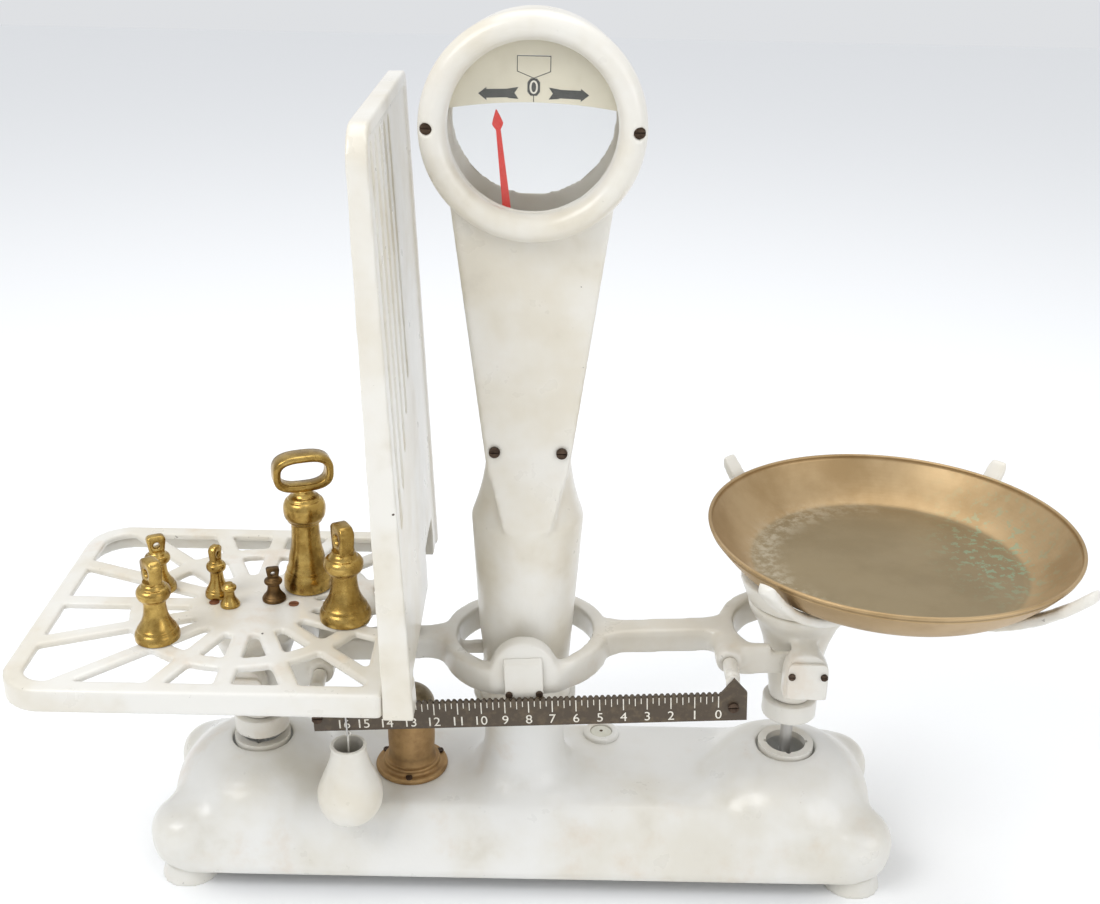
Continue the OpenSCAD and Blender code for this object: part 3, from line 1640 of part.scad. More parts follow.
module dashpot_cap() {
  lip = 2;
  color(gold) dashpot_frame() difference() {
    rotate_extrude($fn = 96)
      polygon(concat([[0, dashpot_h], [0, dashpot_h + dome_cap_h]],
        quarter(plunger_rod_r + 2.5, dashpot_r, dashpot_h + lip, dashpot_h + dome_cap_h),
        [[dashpot_r, dashpot_h]]));
    rotate_extrude($fn = 96)
      polygon(concat([[0, dashpot_h - 1], [0, dashpot_h + dome_cap_h - 3]],
        quarter(plunger_rod_r + 2, dashpot_bore_r, dashpot_h + lip, dashpot_h + dome_cap_h - 3),
        [[dashpot_bore_r, dashpot_h - 1]]));
    zcyl(plunger_rod_r + 2 * pivot_gap, dashpot_h, dashpot_h + dome_cap_h + 1);
  }
}

module dashpot_screws() {
  r = 2.9;
  color(dark) dashpot_frame()
    for (a = [-90, 30, 150])
      rotate([0, 0, a]) translate([dashpot_flange_r - shank_r - 1, 0, dashpot_flange_t]) {
        difference() {
          zcyl(r, 0, head_h - 0.6);
          box([-r, -slot_w / 2, head_h - slot_d], [r, slot_w / 2, head_h]);
        }
        zcyl(shank_r, -dashpot_flange_t - base_wall + 1, eps);
      }
}

module plunger() {
  eye_z = fulcrum_z - dashpot_x * sin_t - base_top_z;
  piston_z = dashpot_flange_t + (dashpot_h - dashpot_flange_t) / 2 - 3;
  color(steel) dashpot_frame() difference() {
    union() {
      zcyl(plunger_rod_r, piston_z, eye_z);
      zcyl(piston_r, piston_z, piston_z + 5);
      translate([0, 0, eye_z]) ycyl(7, -plunger_eye_half, plunger_eye_half);
    }
    translate([0, 0, eye_z]) ycyl(plunger_rod_r + running_gap, -8, 8);
  }
}

module level_ring() {
  color(white) level_frame() difference() {
    zcyl(level_r, 0, level_h);
    zcyl(level_glass_r, level_h - 2, level_h + 1);
  }
}

module level_glass() {
  color(glass) level_frame() zcyl(level_glass_r - tight, level_h - 2, level_h - 0.2);
}

// ---------------------------------------------------------------- weights

// Turned weight with a swollen head and a flat pierced grip.
module bell_weight(r, h, grip, waist = 0.5, collar = 0.76) {
  neck = grip ? 0.46 * r : 0.4 * r;
  top = grip ? 0.74 * h : h;
  difference() {
    union() {
      rotate_extrude($fn = 64)
        polygon([[0, 0], [r, 0], [r, 0.06 * top], [0.97 * r, 0.14 * top], [0.86 * r, 0.21 * top],
          [0.84 * r, 0.24 * top], [(waist + 0.15) * r, 0.34 * top],
          [(waist + 0.04) * r, 0.46 * top], [waist * r, 0.58 * top],
          [(waist + 0.03) * r, 0.7 * top], [(collar - 0.06) * r, 0.74 * top],
          [collar * r, 0.81 * top], [(collar - 0.06) * r, 0.88 * top], [neck + 1, 0.93 * top],
          [neck, top],
          [0, top]]);
      if (grip)
        yprism(-0.3 * r, 0.3 * r)
          polygon([[-0.38 * r, top - 1], [0.38 * r, top - 1], [0.55 * r, h - 0.05 * h],
            [0.5 * r, h], [-0.5 * r, h], [-0.55 * r, h - 0.05 * h]]);
    }
    if (grip)
      translate([0, 0, h - 0.14 * h]) ycyl(0.16 * r, -r, r);
  }
}

module weight_at(x, y, turn) {
  goods_frame() translate([x, y, plate_top]) rotate([0, 0, turn]) children();
}

module weight_a() {
  color(brass) weight_at(40.5, 31.6, 20) {
    bell_weight(w_a_r, w_a_h, false, 0.72, 0.98);
    translate([0, 0, w_a_h - 1]) yprism(-w_loop_d / 2, w_loop_d / 2) difference() {
      rounded([-w_loop_w / 2, 0], [w_loop_w / 2, w_loop_h], w_loop_h * 0.4);
      rounded([-w_loop_w / 2 + w_loop_t, w_loop_t], [w_loop_w / 2 - w_loop_t, w_loop_h - w_loop_t],
        w_loop_h * 0.4 - w_loop_t);
    }
  }
}

module weight_b() {
  color(brass) weight_at(80, -22.4, -60) bell_weight(w_b_r, w_b_h, true);
}

module weight_c() {
  color(brass) weight_at(-65, -59.3, -50) bell_weight(w_c_r, w_c_h, true);
}

module weight_d() {
  color(brass) weight_at(-83.7, 20.2, 25) bell_weight(w_d_r, w_d_h, true);
}

module weight_e() {
  color(brass) weight_at(-32.6, 12.2, 70) bell_weight(w_e_r, w_e_h, true);
}

module weight_f() {
  color(brass) weight_at(15.8, 6.5, 15) bell_weight(w_f_r, w_f_h, true);
}

module weight_g() {
  color(brass) weight_at(-18.8, -5.1, 40) bell_weight(w_g_r, w_g_h, false);
}

base_casting();
foot_pads();
neck_inserts();
fulcrum_bar();
check_bracket();
tower_casting();
tower_cover();
cover_screws();
bezel();
bezel_screws();
front_glass();
rear_glass();
dial_plate();
dashpot_cylinder();
dashpot_cap();
dashpot_screws();
level_ring();
level_glass();
beam_casting();
fulcrum_bearings();
end_knives();
fulcrum_cap();
fulcrum_cap_screws();
bar_hangers();
graduated_bar();
bar_screws();
beam_pins();
check_beam();
check_pins();
goods_hub();
goods_cover();
goods_cover_screws();
goods_rod();
goods_skirt();
platform();
platform_screws();
guard();
guard_bracket();
bracket_screws();
pan_hub();
pan_cover();
pan_cover_screws();
pan_rod();
pan_skirt();
pan_spider();
spider_screws();
pan();
pointer();
pointer_arbor();
pointer_link();
plunger();
poise_hook();
poise_cup();
weight_a();
weight_b();
weight_c();
weight_d();
weight_e();
weight_f();
weight_g();
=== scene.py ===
"""Looks of the counter balance: castings, turned pieces, prints, finishes, light and camera."""

import logging
import math
from dataclasses import dataclass, field
from enum import Enum

import bmesh
import bpy
import numpy as np
from mathutils import Matrix


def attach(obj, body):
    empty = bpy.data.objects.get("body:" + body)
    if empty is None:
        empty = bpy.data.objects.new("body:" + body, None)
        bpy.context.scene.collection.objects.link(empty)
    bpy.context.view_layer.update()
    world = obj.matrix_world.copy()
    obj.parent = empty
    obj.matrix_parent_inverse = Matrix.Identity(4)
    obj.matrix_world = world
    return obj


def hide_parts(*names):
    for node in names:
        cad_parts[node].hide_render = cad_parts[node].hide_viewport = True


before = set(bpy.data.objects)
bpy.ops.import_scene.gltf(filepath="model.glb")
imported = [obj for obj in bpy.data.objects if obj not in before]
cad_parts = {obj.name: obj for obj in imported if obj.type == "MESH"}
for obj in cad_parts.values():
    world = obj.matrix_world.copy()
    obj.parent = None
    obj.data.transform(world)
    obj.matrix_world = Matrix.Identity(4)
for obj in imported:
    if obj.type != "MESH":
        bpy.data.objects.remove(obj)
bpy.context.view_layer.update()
LOG = logging.getLogger("balance")
MM = 0.001
TURNS = 96

Array = np.ndarray
Surface = tuple[Array, Array]
Socket = bpy.types.NodeSocket
Node = bpy.types.Node
Tree = bpy.types.NodeTree
Mesh = bpy.types.Mesh
Piece = bpy.types.Object


# ------------------------------------------------------------------ numbers shared with the solids


@dataclass(frozen=True)
class Balance:
    """Main sizes of the balance in millimetres, in the row frame."""

    column_x: float = -24.85
    fulcrum_z: float = 198.0
    arm: float = 228.6
    tilt: float = 3.1
    base_top: float = 73.0
    dial_z: float = 638.7
    pan_x: float = 70.5
    pan_floor: float = 71.0
    plate_top: float = 47.2
    poise_x: float = -144.4375
    poise_y: float = -74.0
    poise_z: float = -34.7
    dashpot_x: float = -98.8

    def beam(self, points: Array) -> Array:
        """Points given from the fulcrum on the level beam, turned to the resting tilt.

        Args:
            points: array of x, y, z rows.

        Returns:
            The same points in the row frame.
        """
        a = math.radians(self.tilt)
        x = points[..., 0] * math.cos(a) - points[..., 2] * math.sin(a)
        z = points[..., 0] * math.sin(a) + points[..., 2] * math.cos(a)
        return np.stack([x + self.column_x, points[..., 1], z + self.fulcrum_z], -1)

    def goods(self) -> Array:
        """End edge of the goods stem."""
        return self.beam(np.array([-self.arm, 0.0, 0.0]))

    def pan(self) -> Array:
        """End edge of the pan stem."""
        return self.beam(np.array([self.arm, 0.0, 0.0]))

    def plate_level(self) -> float:
        """Height of the platform's top."""
        return float(self.goods()[2] + self.plate_top)


SIZES = Balance()


# ------------------------------------------------------------------ node helpers


def linear(code: str) -> tuple[float, float, float, float]:
    """Turn an sRGB hex colour to linear light.

    Args:
        code: colour such as "#e6e3da".

    Returns:
        Linear red, green, blue and an alpha of one.
    """
    raw = np.array([int(code[i : i + 2], 16) for i in (1, 3, 5)]) / 255.0
    lin = np.where(raw <= 0.04045, raw / 12.92, ((raw + 0.055) / 1.055) ** 2.4)
    return (float(lin[0]), float(lin[1]), float(lin[2]), 1.0)


def add(tree: Tree, kind: str, inputs: dict | None = None, **settings) -> Node:
    """Add one node with its settings and links.

    Args:
        tree: node tree to add to.
        kind: node type.
        inputs: socket name or index to a value or to the socket that feeds it.
        settings: attributes of the node itself.

    Returns:
        The new node.
    """
    node = tree.nodes.new(kind)
    for key, value in settings.items():
        setattr(node, key, value)
    for key, value in (inputs or {}).items():
        if isinstance(value, Socket):
            tree.links.new(value, node.inputs[key])
        else:
            node.inputs[key].default_value = value
    return node


def ramp(tree: Tree, factor: Socket, low: float, high: float) -> Socket:
    """Map a factor to 0 below low and 1 above high, smoothly between.

    Args:
        tree: node tree.
        factor: socket to map.
        low: value that becomes 0.
        high: value that becomes 1.

    Returns:
        The mapped factor.
    """
    node = add(
        tree,
        "ShaderNodeMapRange",
        {"Value": factor, "From Min": low, "From Max": high},
        interpolation_type="SMOOTHSTEP",
    )
    return node.outputs["Result"]


def noise(tree: Tree, size_mm: float, detail: float = 3.0, rough: float = 0.55,
          stretch: tuple[float, float, float] = (1.0, 1.0, 1.0)) -> Socket:
    """Noise whose features are about the given size.

    Args:
        tree: node tree.
        size_mm: size of one feature in millimetres.
        detail: octaves.
        rough: strength of the finer octaves.
        stretch: scale of the coordinates along each axis.

    Returns:
        The noise factor.
    """
    coord = add(tree, "ShaderNodeTexCoord")
    mapping = add(tree, "ShaderNodeMapping", {"Vector": coord.outputs["Object"], "Scale": stretch})
    node = add(
        tree,
        "ShaderNodeTexNoise",
        {
            "Vector": mapping.outputs["Vector"],
            "Scale": 1000.0 / size_mm,
            "Detail": detail,
            "Roughness": rough,
        },
    )
    return node.outputs["Fac"]


def mix(tree: Tree, factor: Socket | float, a: Socket | tuple, b: Socket | tuple,
        blend: str = "MIX") -> Socket:
    """Mix two colours.

    Args:
        tree: node tree.
        factor: share of the second colour.
        a: first colour.
        b: second colour.
        blend: blend type.

    Returns:
        The mixed colour.
    """
    node = add(tree, "ShaderNodeMix", data_type="RGBA", blend_type=blend)
    for index, value in ((0, factor), (6, a), (7, b)):
        if isinstance(value, Socket):
            tree.links.new(value, node.inputs[index])
        else:
            node.inputs[index].default_value = value
    return node.outputs[2]


def math_node(tree: Tree, operation: str, a: Socket | float, b: Socket | float = 0.0,
              clamp: bool = False) -> Socket:
    """One arithmetic step.

    Args:
        tree: node tree.
        operation: operation name.
        a: first value.
        b: second value.
        clamp: keep the result between 0 and 1.

    Returns:
        The result.
    """
    node = add(tree, "ShaderNodeMath", {0: a, 1: b}, operation=operation, use_clamp=clamp)
    return node.outputs[0]


def times(tree: Tree, a: Socket | float, b: Socket | float) -> Socket:
    """Product of two factors.

    Args:
        tree: node tree.
        a: first factor.
        b: second factor.

    Returns:
        The product.
    """
    return math_node(tree, "MULTIPLY", a, b)


def between(tree: Tree, value: Socket, low: float, high: float) -> Socket:
    """Map a factor of 0 to 1 evenly to a range.

    Args:
        tree: node tree.
        value: factor to map.
        low: result at 0.
        high: result at 1.

    Returns:
        The mapped value.
    """
    node = add(tree, "ShaderNodeMapRange", {"Value": value, "To Min": low, "To Max": high})
    return node.outputs["Result"]


def relief(tree: Tree, height: Socket, strength: float, depth_mm: float,
           under: Socket | None = None) -> Socket:
    """Fine relief in the shading normal.

    Args:
        tree: node tree.
        height: height factor.
        strength: share of the effect.
        depth_mm: depth in millimetres where the height is 1.
        under: normal to start from.

    Returns:
        The normal.
    """
    inputs = {"Height": height, "Strength": strength, "Distance": depth_mm * MM}
    if under is not None:
        inputs["Normal"] = under
    return add(tree, "ShaderNodeBump", inputs).outputs["Normal"]


def attribute(tree: Tree, name: str) -> Socket:
    """Read one number stored on the mesh's points.

    Args:
        tree: node tree.
        name: attribute name.

    Returns:
        Its value; zero where the mesh has none.
    """
    return add(tree, "ShaderNodeAttribute", attribute_name=name).outputs["Fac"]


def dress(tree: Tree, shader: Node, colour: Socket, rough: Socket, normal: Socket) -> None:
    """Link colour, roughness and normal to a shader.

    Args:
        tree: node tree.
        shader: principled shader.
        colour: base colour.
        rough: roughness.
        normal: shading normal.
    """
    tree.links.new(colour, shader.inputs["Base Color"])
    tree.links.new(rough, shader.inputs["Roughness"])
    tree.links.new(normal, shader.inputs["Normal"])


# ------------------------------------------------------------------ finishes


class Mark(Enum):
    """How a metal's surface is marked."""

    SPUN = "fine rings left by spinning"
    CAST = "shallow sand texture"
    HANDLED = "hairline scratches from handling"


@dataclass(frozen=True)
class Finish:
    """A finish with a name and the record's slot it stands for; subclasses paint it."""

    name: str
    slot: str = ""

    def material(self) -> bpy.types.Material:
        """The material, made on first use."""
        found = bpy.data.materials.get(self.name)
        if found:
            return found
        made = bpy.data.materials.new(self.name)
        made.use_nodes = True
        tree = made.node_tree
        tree.nodes.clear()
        shader = add(tree, "ShaderNodeBsdfPrincipled")
        add(tree, "ShaderNodeOutputMaterial", {"Surface": shader.outputs["BSDF"]})
        self.paint(tree, shader)
        return made

    def paint(self, tree: Tree, shader: Node) -> None:
        """Fill the shader's sockets; each subclass has its own."""
        raise NotImplementedError


@dataclass(frozen=True)
class StoveEnamel(Finish):
    """Thick white stove enamel over cast iron, decades old.

    Sprayed and baked in several coats, so edges are soft and the gloss is broken by a faint orange
    peel. The eye sees warm off-white, yellower in hollows, with grime, small rust blooms and chips.
    """

    tone: str = "#dedbd3"
    warm: str = "#d4cdbd"
    grime: str = "#8d8069"
    rust: str = "#8a5a34"
    chip: str = "#4a3d33"
    dirt: float = 0.5
    rusting: float = 0.3
    stain: float = 0.1
    tan: str = "#c2a279"

    def paint(self, tree: Tree, shader: Node) -> None:
        """Layer tone, age, hollows, rust and chips, then gloss and orange peel.

        Args:
            tree: node tree.
            shader: principled shader.
        """
        broad = noise(tree, 90, 4)
        colour = mix(tree, ramp(tree, broad, 0.38, 0.68), linear(self.tone), linear(self.warm))
        hollow = ramp(tree, attribute(tree, "hollow"), 0.02, 0.7)
        blotch = ramp(tree, noise(tree, 34, 6, 0.66), 0.3, 0.8)
        soot = times(tree, times(tree, hollow, blotch), self.dirt)
        colour = mix(tree, soot, colour, linear(self.grime))
        film = times(tree, ramp(tree, noise(tree, 45, 6, 0.65), 0.56, 0.82), 0.14)
        colour = mix(tree, film, colour, linear(self.grime))
        tea = ramp(tree, noise(tree, 58, 6, 0.62), 0.54, 0.78)
        colour = mix(tree, times(tree, tea, self.stain), colour, linear(self.tan))
        bloom = ramp(tree, noise(tree, 17, 4, 0.7), 0.70, 0.78)
        bloom = times(tree, bloom, self.rusting)
        colour = mix(tree, bloom, colour, linear(self.rust))
        ridge = ramp(tree, attribute(tree, "ridge"), 0.25, 0.8)
        fleck = ramp(tree, noise(tree, 6, 4, 0.65), 0.69, 0.72)
        worn = times(tree, times(tree, ridge, fleck), 0.55)
        pits = ramp(tree, noise(tree, 11, 2, 0.5), 0.79, 0.80)
        colour = mix(tree, math_node(tree, "MAXIMUM", worn, pits), colour, linear(self.chip))
        rough = between(tree, noise(tree, 30, 4), 0.2, 0.42)
        peel = relief(tree, noise(tree, 3.2, 2, 0.4), 0.16, 0.4)
        wave = relief(tree, noise(tree, 28, 3, 0.5), 0.3, 1.6, peel)
        dress(tree, shader, colour, rough, wave)
        shader.inputs["Coat Weight"].default_value = 0.25
        shader.inputs["Coat Roughness"].default_value = 0.12


@dataclass(frozen=True)
class AgedMetal(Finish):
    """A bare metal with patina: darker and duller where hands and cloths don't reach."""

    bright: str = "#c9a85a"
    dull: str = "#7d6332"
    patina: str = "#4d3b1e"
    low_rough: float = 0.2
    high_rough: float = 0.42
    metallic: float = 1.0
    mark: Mark = Mark.HANDLED
    patina_share: float = 0.75
    specks: str = "#5c7a62"
    speck_share: float = 0.0
    dusty: str = "#d2c8b2"
    patch_mm: float = 14.0

    def paint(self, tree: Tree, shader: Node) -> None:
        """Blend bright and dull metal, patina in hollows, specks, marks in the bump.

        Args:
            tree: node tree.
            shader: principled shader.
        """
        cloud = ramp(tree, noise(tree, self.patch_mm, 5, 0.6), 0.34, 0.68)
        colour = mix(tree, cloud, linear(self.bright), linear(self.dull))
        hollow = ramp(tree, attribute(tree, "hollow"), 0.03, 0.6)
        colour = mix(tree, times(tree, hollow, self.patina_share), colour, linear(self.patina))
        band = attribute(tree, "band")
        colour = mix(tree, times(tree, band, 0.7), colour, linear(self.patina))
        scuff = ramp(tree, noise(tree, 9, 6, 0.7), 0.42, 0.62)
        scuff = times(tree, times(tree, scuff, attribute(tree, "dust")), 0.55)
        colour = mix(tree, scuff, colour, linear(self.dusty))
        speck = ramp(tree, noise(tree, 7, 4, 0.65), 0.53, 0.6)
        speck = times(tree, times(tree, speck, attribute(tree, "green")), self.speck_share)
        colour = mix(tree, speck, colour, linear(self.specks))
        rough = between(tree, noise(tree, self.patch_mm * 0.6, 4), self.low_rough, self.high_rough)
        rough = math_node(tree, "ADD", rough, times(tree, hollow, 0.15))
        if self.mark is Mark.SPUN:
            turns = times(tree, attribute(tree, "radius"), 2600.0)
            height = math_node(tree, "SINE", turns)
            strength, depth_mm = 0.045, 0.2
        elif self.mark is Mark.CAST:
            height = noise(tree, 1.6, 3, 0.6)
            strength, depth_mm = 0.3, 0.6
        else:
            height = noise(tree, 1.3, 4, 0.7, (1.0, 1.0, 7.0))
            strength, depth_mm = 0.12, 0.3
        fine = relief(tree, height, strength, depth_mm)
        dress(tree, shader, colour, rough, relief(tree, noise(tree, 16, 2), 0.12, 1.2, fine))
        shader.inputs["Metallic"].default_value = self.metallic


@dataclass(frozen=True)
class FlatPaint(Finish):
    """A thin brushed or printed paint: even colour, low sheen, slight wear."""

    tone: str = "#5a4a3a"
    worn: str = "#7b6a55"
    low_rough: float = 0.4
    high_rough: float = 0.6
    wear: float = 0.3
    grain_mm: float = 6.0

    def paint(self, tree: Tree, shader: Node) -> None:
        """Blend tone and wear, with a faint brushed bump.

        Args:
            tree: node tree.
            shader: principled shader.
        """
        rub = times(tree, ramp(tree, noise(tree, self.grain_mm, 5, 0.6), 0.45, 0.7), self.wear)
        colour = mix(tree, rub, linear(self.tone), linear(self.worn))
        rough = between(tree, noise(tree, 9, 3), self.low_rough, self.high_rough)
        dress(tree, shader, colour, rough, relief(tree, noise(tree, 0.9, 3, 0.6), 0.1, 0.2))


@dataclass(frozen=True)
class WindowGlass(Finish):
    """Drawn window glass, cut round: clear, with a green cast at its edge and a little dust."""

    tint: str = "#eef5f2"

    def paint(self, tree: Tree, shader: Node) -> None:
        """See-through sheet: nearly all light goes straight on, the rest is gloss and dust.

        Args:
            tree: node tree.
            shader: principled shader.
        """
        dust = between(tree, noise(tree, 22, 4), 0.02, 0.08)
        film = between(tree, noise(tree, 40, 5), 0.01, 0.04)
        shader.inputs["Base Color"].default_value = linear(self.tint)
        shader.inputs["IOR"].default_value = 1.45
        tree.links.new(dust, shader.inputs["Roughness"])
        tree.links.new(film, shader.inputs["Alpha"])


ENAMEL = StoveEnamel("white_stove_enamel", "white_enamel")
ENAMEL_TOWER = StoveEnamel("white_stove_enamel_tower", "white_enamel", dirt=0.35, rusting=0.12)
ENAMEL_PLATE = StoveEnamel(
    "white_stove_enamel_platform", "white_enamel", dirt=0.75, rusting=0.55, tone="#dcdad4", warm="#d3cdbf",
    stain=0.42,
)
ENAMEL_BASE = StoveEnamel(
    "white_stove_enamel_base", "white_enamel", dirt=0.55, rusting=0.3, tone="#dddcd8", warm="#d3cfc4",
    stain=0.3,
)
ENAMEL_BEAM = StoveEnamel(
    "white_stove_enamel_beam", "white_enamel", dirt=0.8, rusting=0.35, tone="#d6d3cb", warm="#cbc4b5",
    stain=0.3,
)
BRONZE = AgedMetal(
    "spun_bronze", "bronze", bright="#b79d76", dull="#a38860", patina="#7f785f", low_rough=0.36,
    high_rough=0.52, mark=Mark.SPUN, specks="#93a98c", speck_share=0.75, patch_mm=60.0, metallic=0.72,
)
BRASS = AgedMetal(
    "handled_brass", "weight_brass", bright="#c4a55f", dull="#94763c", patina="#4a3717", low_rough=0.16,
    high_rough=0.36, patina_share=0.9,
)
BRASS_DARK = AgedMetal(
    "dark_brass", "weight_brass", bright="#7d6240", dull="#4f3d28", patina="#2c2218", low_rough=0.35,
    high_rough=0.55,
)
GOLD_PAINT = AgedMetal(
    "worn_gold_paint", "gold_paint", bright="#a9885a", dull="#8f7048", patina="#5d4a30", low_rough=0.42,
    high_rough=0.6, metallic=0.55, mark=Mark.CAST,
)
DOME_BRASS = AgedMetal(
    "dull_dome_brass", "dull_brass", bright="#8d8068", dull="#6b5f4a", patina="#3d3428", low_rough=0.35,
    high_rough=0.55,
)
STEEL = AgedMetal(
    "bare_steel", "bare_steel", bright="#a5a39d", dull="#85817a", patina="#55504a", low_rough=0.3,
    high_rough=0.5,
)
ZINC = AgedMetal(
    "zinc_plate", bright="#b9c0c6", dull="#959ca3", patina="#6a6f74", low_rough=0.25, high_rough=0.4,
)
OXIDE = AgedMetal(
    "oxidised_steel", "oxidised_screws", bright="#5b4a3c", dull="#3a2c22", patina="#1d1612",
    low_rough=0.45, high_rough=0.7, metallic=0.7, mark=Mark.CAST, patch_mm=4.0,
)
RUST = AgedMetal(
    "rusted_steel", bright="#8c5a3a", dull="#6a3f28", patina="#3a241a", low_rough=0.6, high_rough=0.85,
    metallic=0.3, mark=Mark.CAST, patch_mm=3.0,
)
BAR_BROWN = FlatPaint("dark_brown_bar_paint", tone="#463a2b", worn="#65563f", wear=0.5)
BAR_MARKS = FlatPaint("off_white_filling", tone="#ded9cc", worn="#a89f8e", wear=0.45, grain_mm=3.0)
CREAM = FlatPaint("cream_dial_paint", tone="#d9d2bd", worn="#c6bda5", wear=0.3, grain_mm=20.0)
PRINT = FlatPaint("dark_printing_ink", tone="#3b3a36", worn="#55534d", wear=0.3)
RED = FlatPaint("red_pointer_lacquer", tone="#d22a1c", worn="#b2261a", low_rough=0.3, high_rough=0.4)
GLASS = WindowGlass("drawn_window_glass", "window_glass")
LEVEL_FLUID = FlatPaint("level_face_paint", tone="#cfcdbf", worn="#b7b3a2", low_rough=0.1, high_rough=0.2)


# ------------------------------------------------------------------ mesh helpers


def object_of(name: str, mesh: Mesh, finish: Finish, body: str, stands_for: str | None = None) -> Piece:
    """Put a mesh in the scene, dress it and let it ride on a body.

    Args:
        name: piece name.
        mesh: finished mesh in metres, in the row frame.
        finish: its finish.
        body: body it moves with.
        stands_for: solid it is shown instead of.

    Returns:
        The object.
    """
    piece = bpy.data.objects.new(name, mesh)
    bpy.context.scene.collection.objects.link(piece)
    mesh.materials.clear()
    mesh.materials.append(finish.material())
    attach(piece, body)
    if stands_for:
        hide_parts(stands_for)
    LOG.info("%s: %d faces on %s", name, len(mesh.polygons), body)
    return piece


def mesh_of(name: str, points: Array, quads: Array, smooth: bool = True) -> Mesh:
    """Make a mesh from points in millimetres and quads, doubles merged, facing out.

    Args:
        name: mesh name.
        points: n x 3 points.
        quads: m x 4 corner indices.
        smooth: shade smooth.

    Returns:
        The mesh.
    """
    mesh = bpy.data.meshes.new(name)
    mesh.from_pydata((points * MM).tolist(), [], quads.tolist())
    build = bmesh.new()
    build.from_mesh(mesh)
    bmesh.ops.remove_doubles(build, verts=build.verts, dist=1e-7)
    bmesh.ops.dissolve_degenerate(build, edges=build.edges, dist=1e-8)
    bmesh.ops.recalc_face_normals(build, faces=build.faces)
    build.to_mesh(mesh)
    build.free()
    mesh.polygons.foreach_set("use_smooth", np.full(len(mesh.polygons), smooth))
    mesh.update()
    return mesh


def piece_of(name: str, surface: Surface, finish: Finish, body: str, stands_for: str | None = None,
             relief_passes: int = 0, gain: float = 1.0, smooth: bool = True) -> Piece:
    """Mesh a surface, mark its hollows and ridges where wanted, and put the piece in the scene.

    Args:
        name: piece name.
        surface: points in millimetres and quads.
        finish: its finish.
        body: body it moves with.
        stands_for: solid it is shown instead of.
        relief_passes: averaging passes of its hollows and ridges; none marks nothing.
        gain: strength of that marking.
        smooth: shade smooth.

    Returns:
        The object.
    """
    mesh = mesh_of(name, *surface, smooth)
    if relief_passes:
        mark_relief(mesh, relief_passes, gain)
    return object_of(name, mesh, finish, body, stands_for)


def grid_quads(rows: int, cols: int, wrap_rows: bool, wrap_cols: bool) -> Array:
    """Corner indices of a rows x cols grid of points.

    Args:
        rows: points along the first parameter.
        cols: points along the second parameter.
        wrap_rows: close the first parameter.
        wrap_cols: close the second parameter.

    Returns:
        Quads as index rows.
    """
    i = np.arange(rows if wrap_rows else rows - 1)
    j = np.arange(cols if wrap_cols else cols - 1)
    a, b = np.meshgrid(i, j, indexing="ij")
    a2, b2 = (a + 1) % rows, (b + 1) % cols
    return np.stack([a * cols + b, a * cols + b2, a2 * cols + b2, a2 * cols + b], -1).reshape(-1, 4)


def curve_through(knots: list[tuple[float, float]], steps: int = 6) -> Array:
    """Smooth profile through its knots.

    Each stretch is the cubic whose slope at a knot is the mean slope of its two neighbours, so
    knots set close together make a crisp corner.

    Args:
        knots: points of the profile.
        steps: samples in each stretch.

    Returns:
        Points along the profile.
    """
    p = np.array(knots, float)
    t = np.concatenate([[0.0], np.cumsum(np.maximum(np.linalg.norm(np.diff(p, axis=0), axis=1), 1e-6))])
    slope = np.gradient(p, t, axis=0)
    u = np.tile(np.arange(steps) / steps, len(p) - 1)[:, None]
    k = np.repeat(np.arange(len(p) - 1), steps)
    h = (t[k + 1] - t[k])[:, None]
    out = (
        (2 * u**3 - 3 * u**2 + 1) * p[k]
        + (u**3 - 2 * u**2 + u) * h * slope[k]
        + (-2 * u**3 + 3 * u**2) * p[k + 1]
        + (u**3 - u**2) * h * slope[k + 1]
    )
    return np.vstack([out, p[-1:]])


def turned(profile: Array, centre: Array, along_y: bool = False, turns: int = TURNS) -> Surface:
    """Surface of revolution: each profile point (r, h) goes round a full circle of radius r.

    Args:
        profile: (r, h) rows from one end to the other.
        centre: foot of the axis.
        along_y: the axis runs towards -Y instead of +Z.
        turns: points round the circle.

    Returns:
        Points and quads.
    """
    angle = np.linspace(0, 2 * np.pi, turns, endpoint=False)
    r, h = profile[:, 0][:, None], profile[:, 1][:, None]
    x, y, z = r * np.cos(angle), r * np.sin(angle), h + 0 * angle
    grid = np.stack([x, -z, y] if along_y else [x, y, z], -1) + centre
    return grid.reshape(-1, 3), grid_quads(len(profile), turns, False, True)


def swept(path: Array, radius: Array | float, sides: int = 20, closed: bool = False) -> Surface:
    """Round wire: a circle carried along a path, square to it.

    Args:
        path: n x 3 points of the centre line.
        radius: radius, one or one for each point.
        sides: points round the wire.
        closed: the path joins its own start.

    Returns:
        Points and quads; open ends are drawn in to a point.
    """
    ahead = np.gradient(path, axis=0)
    if closed:
        ahead = np.roll(path, -1, 0) - np.roll(path, 1, 0)
    ahead /= np.linalg.norm(ahead, axis=1)[:, None]
    ref = np.array([0.0, 1.0, 0.0]) if abs(ahead[:, 1]).max() < 0.9 else np.array([1.0, 0.0, 0.0])
    side = np.cross(ahead, ref)
    side /= np.linalg.norm(side, axis=1)[:, None]
    up = np.cross(side, ahead)
    angle = np.linspace(0, 2 * np.pi, sides, endpoint=False)
    r = np.broadcast_to(radius, (len(path),)).astype(float)[:, None, None]
    ring = path[:, None, :] + r * (
        np.cos(angle)[None, :, None] * side[:, None, :] + np.sin(angle)[None, :, None] * up[:, None, :]
    )
    if not closed:
        tips = [np.repeat(end[:, None, :], sides, 1) for end in (path[:1], path[-1:])]
        ring = np.concatenate([tips[0], ring, tips[1]])
    return ring.reshape(-1, 3), grid_quads(len(ring), sides, closed, True)


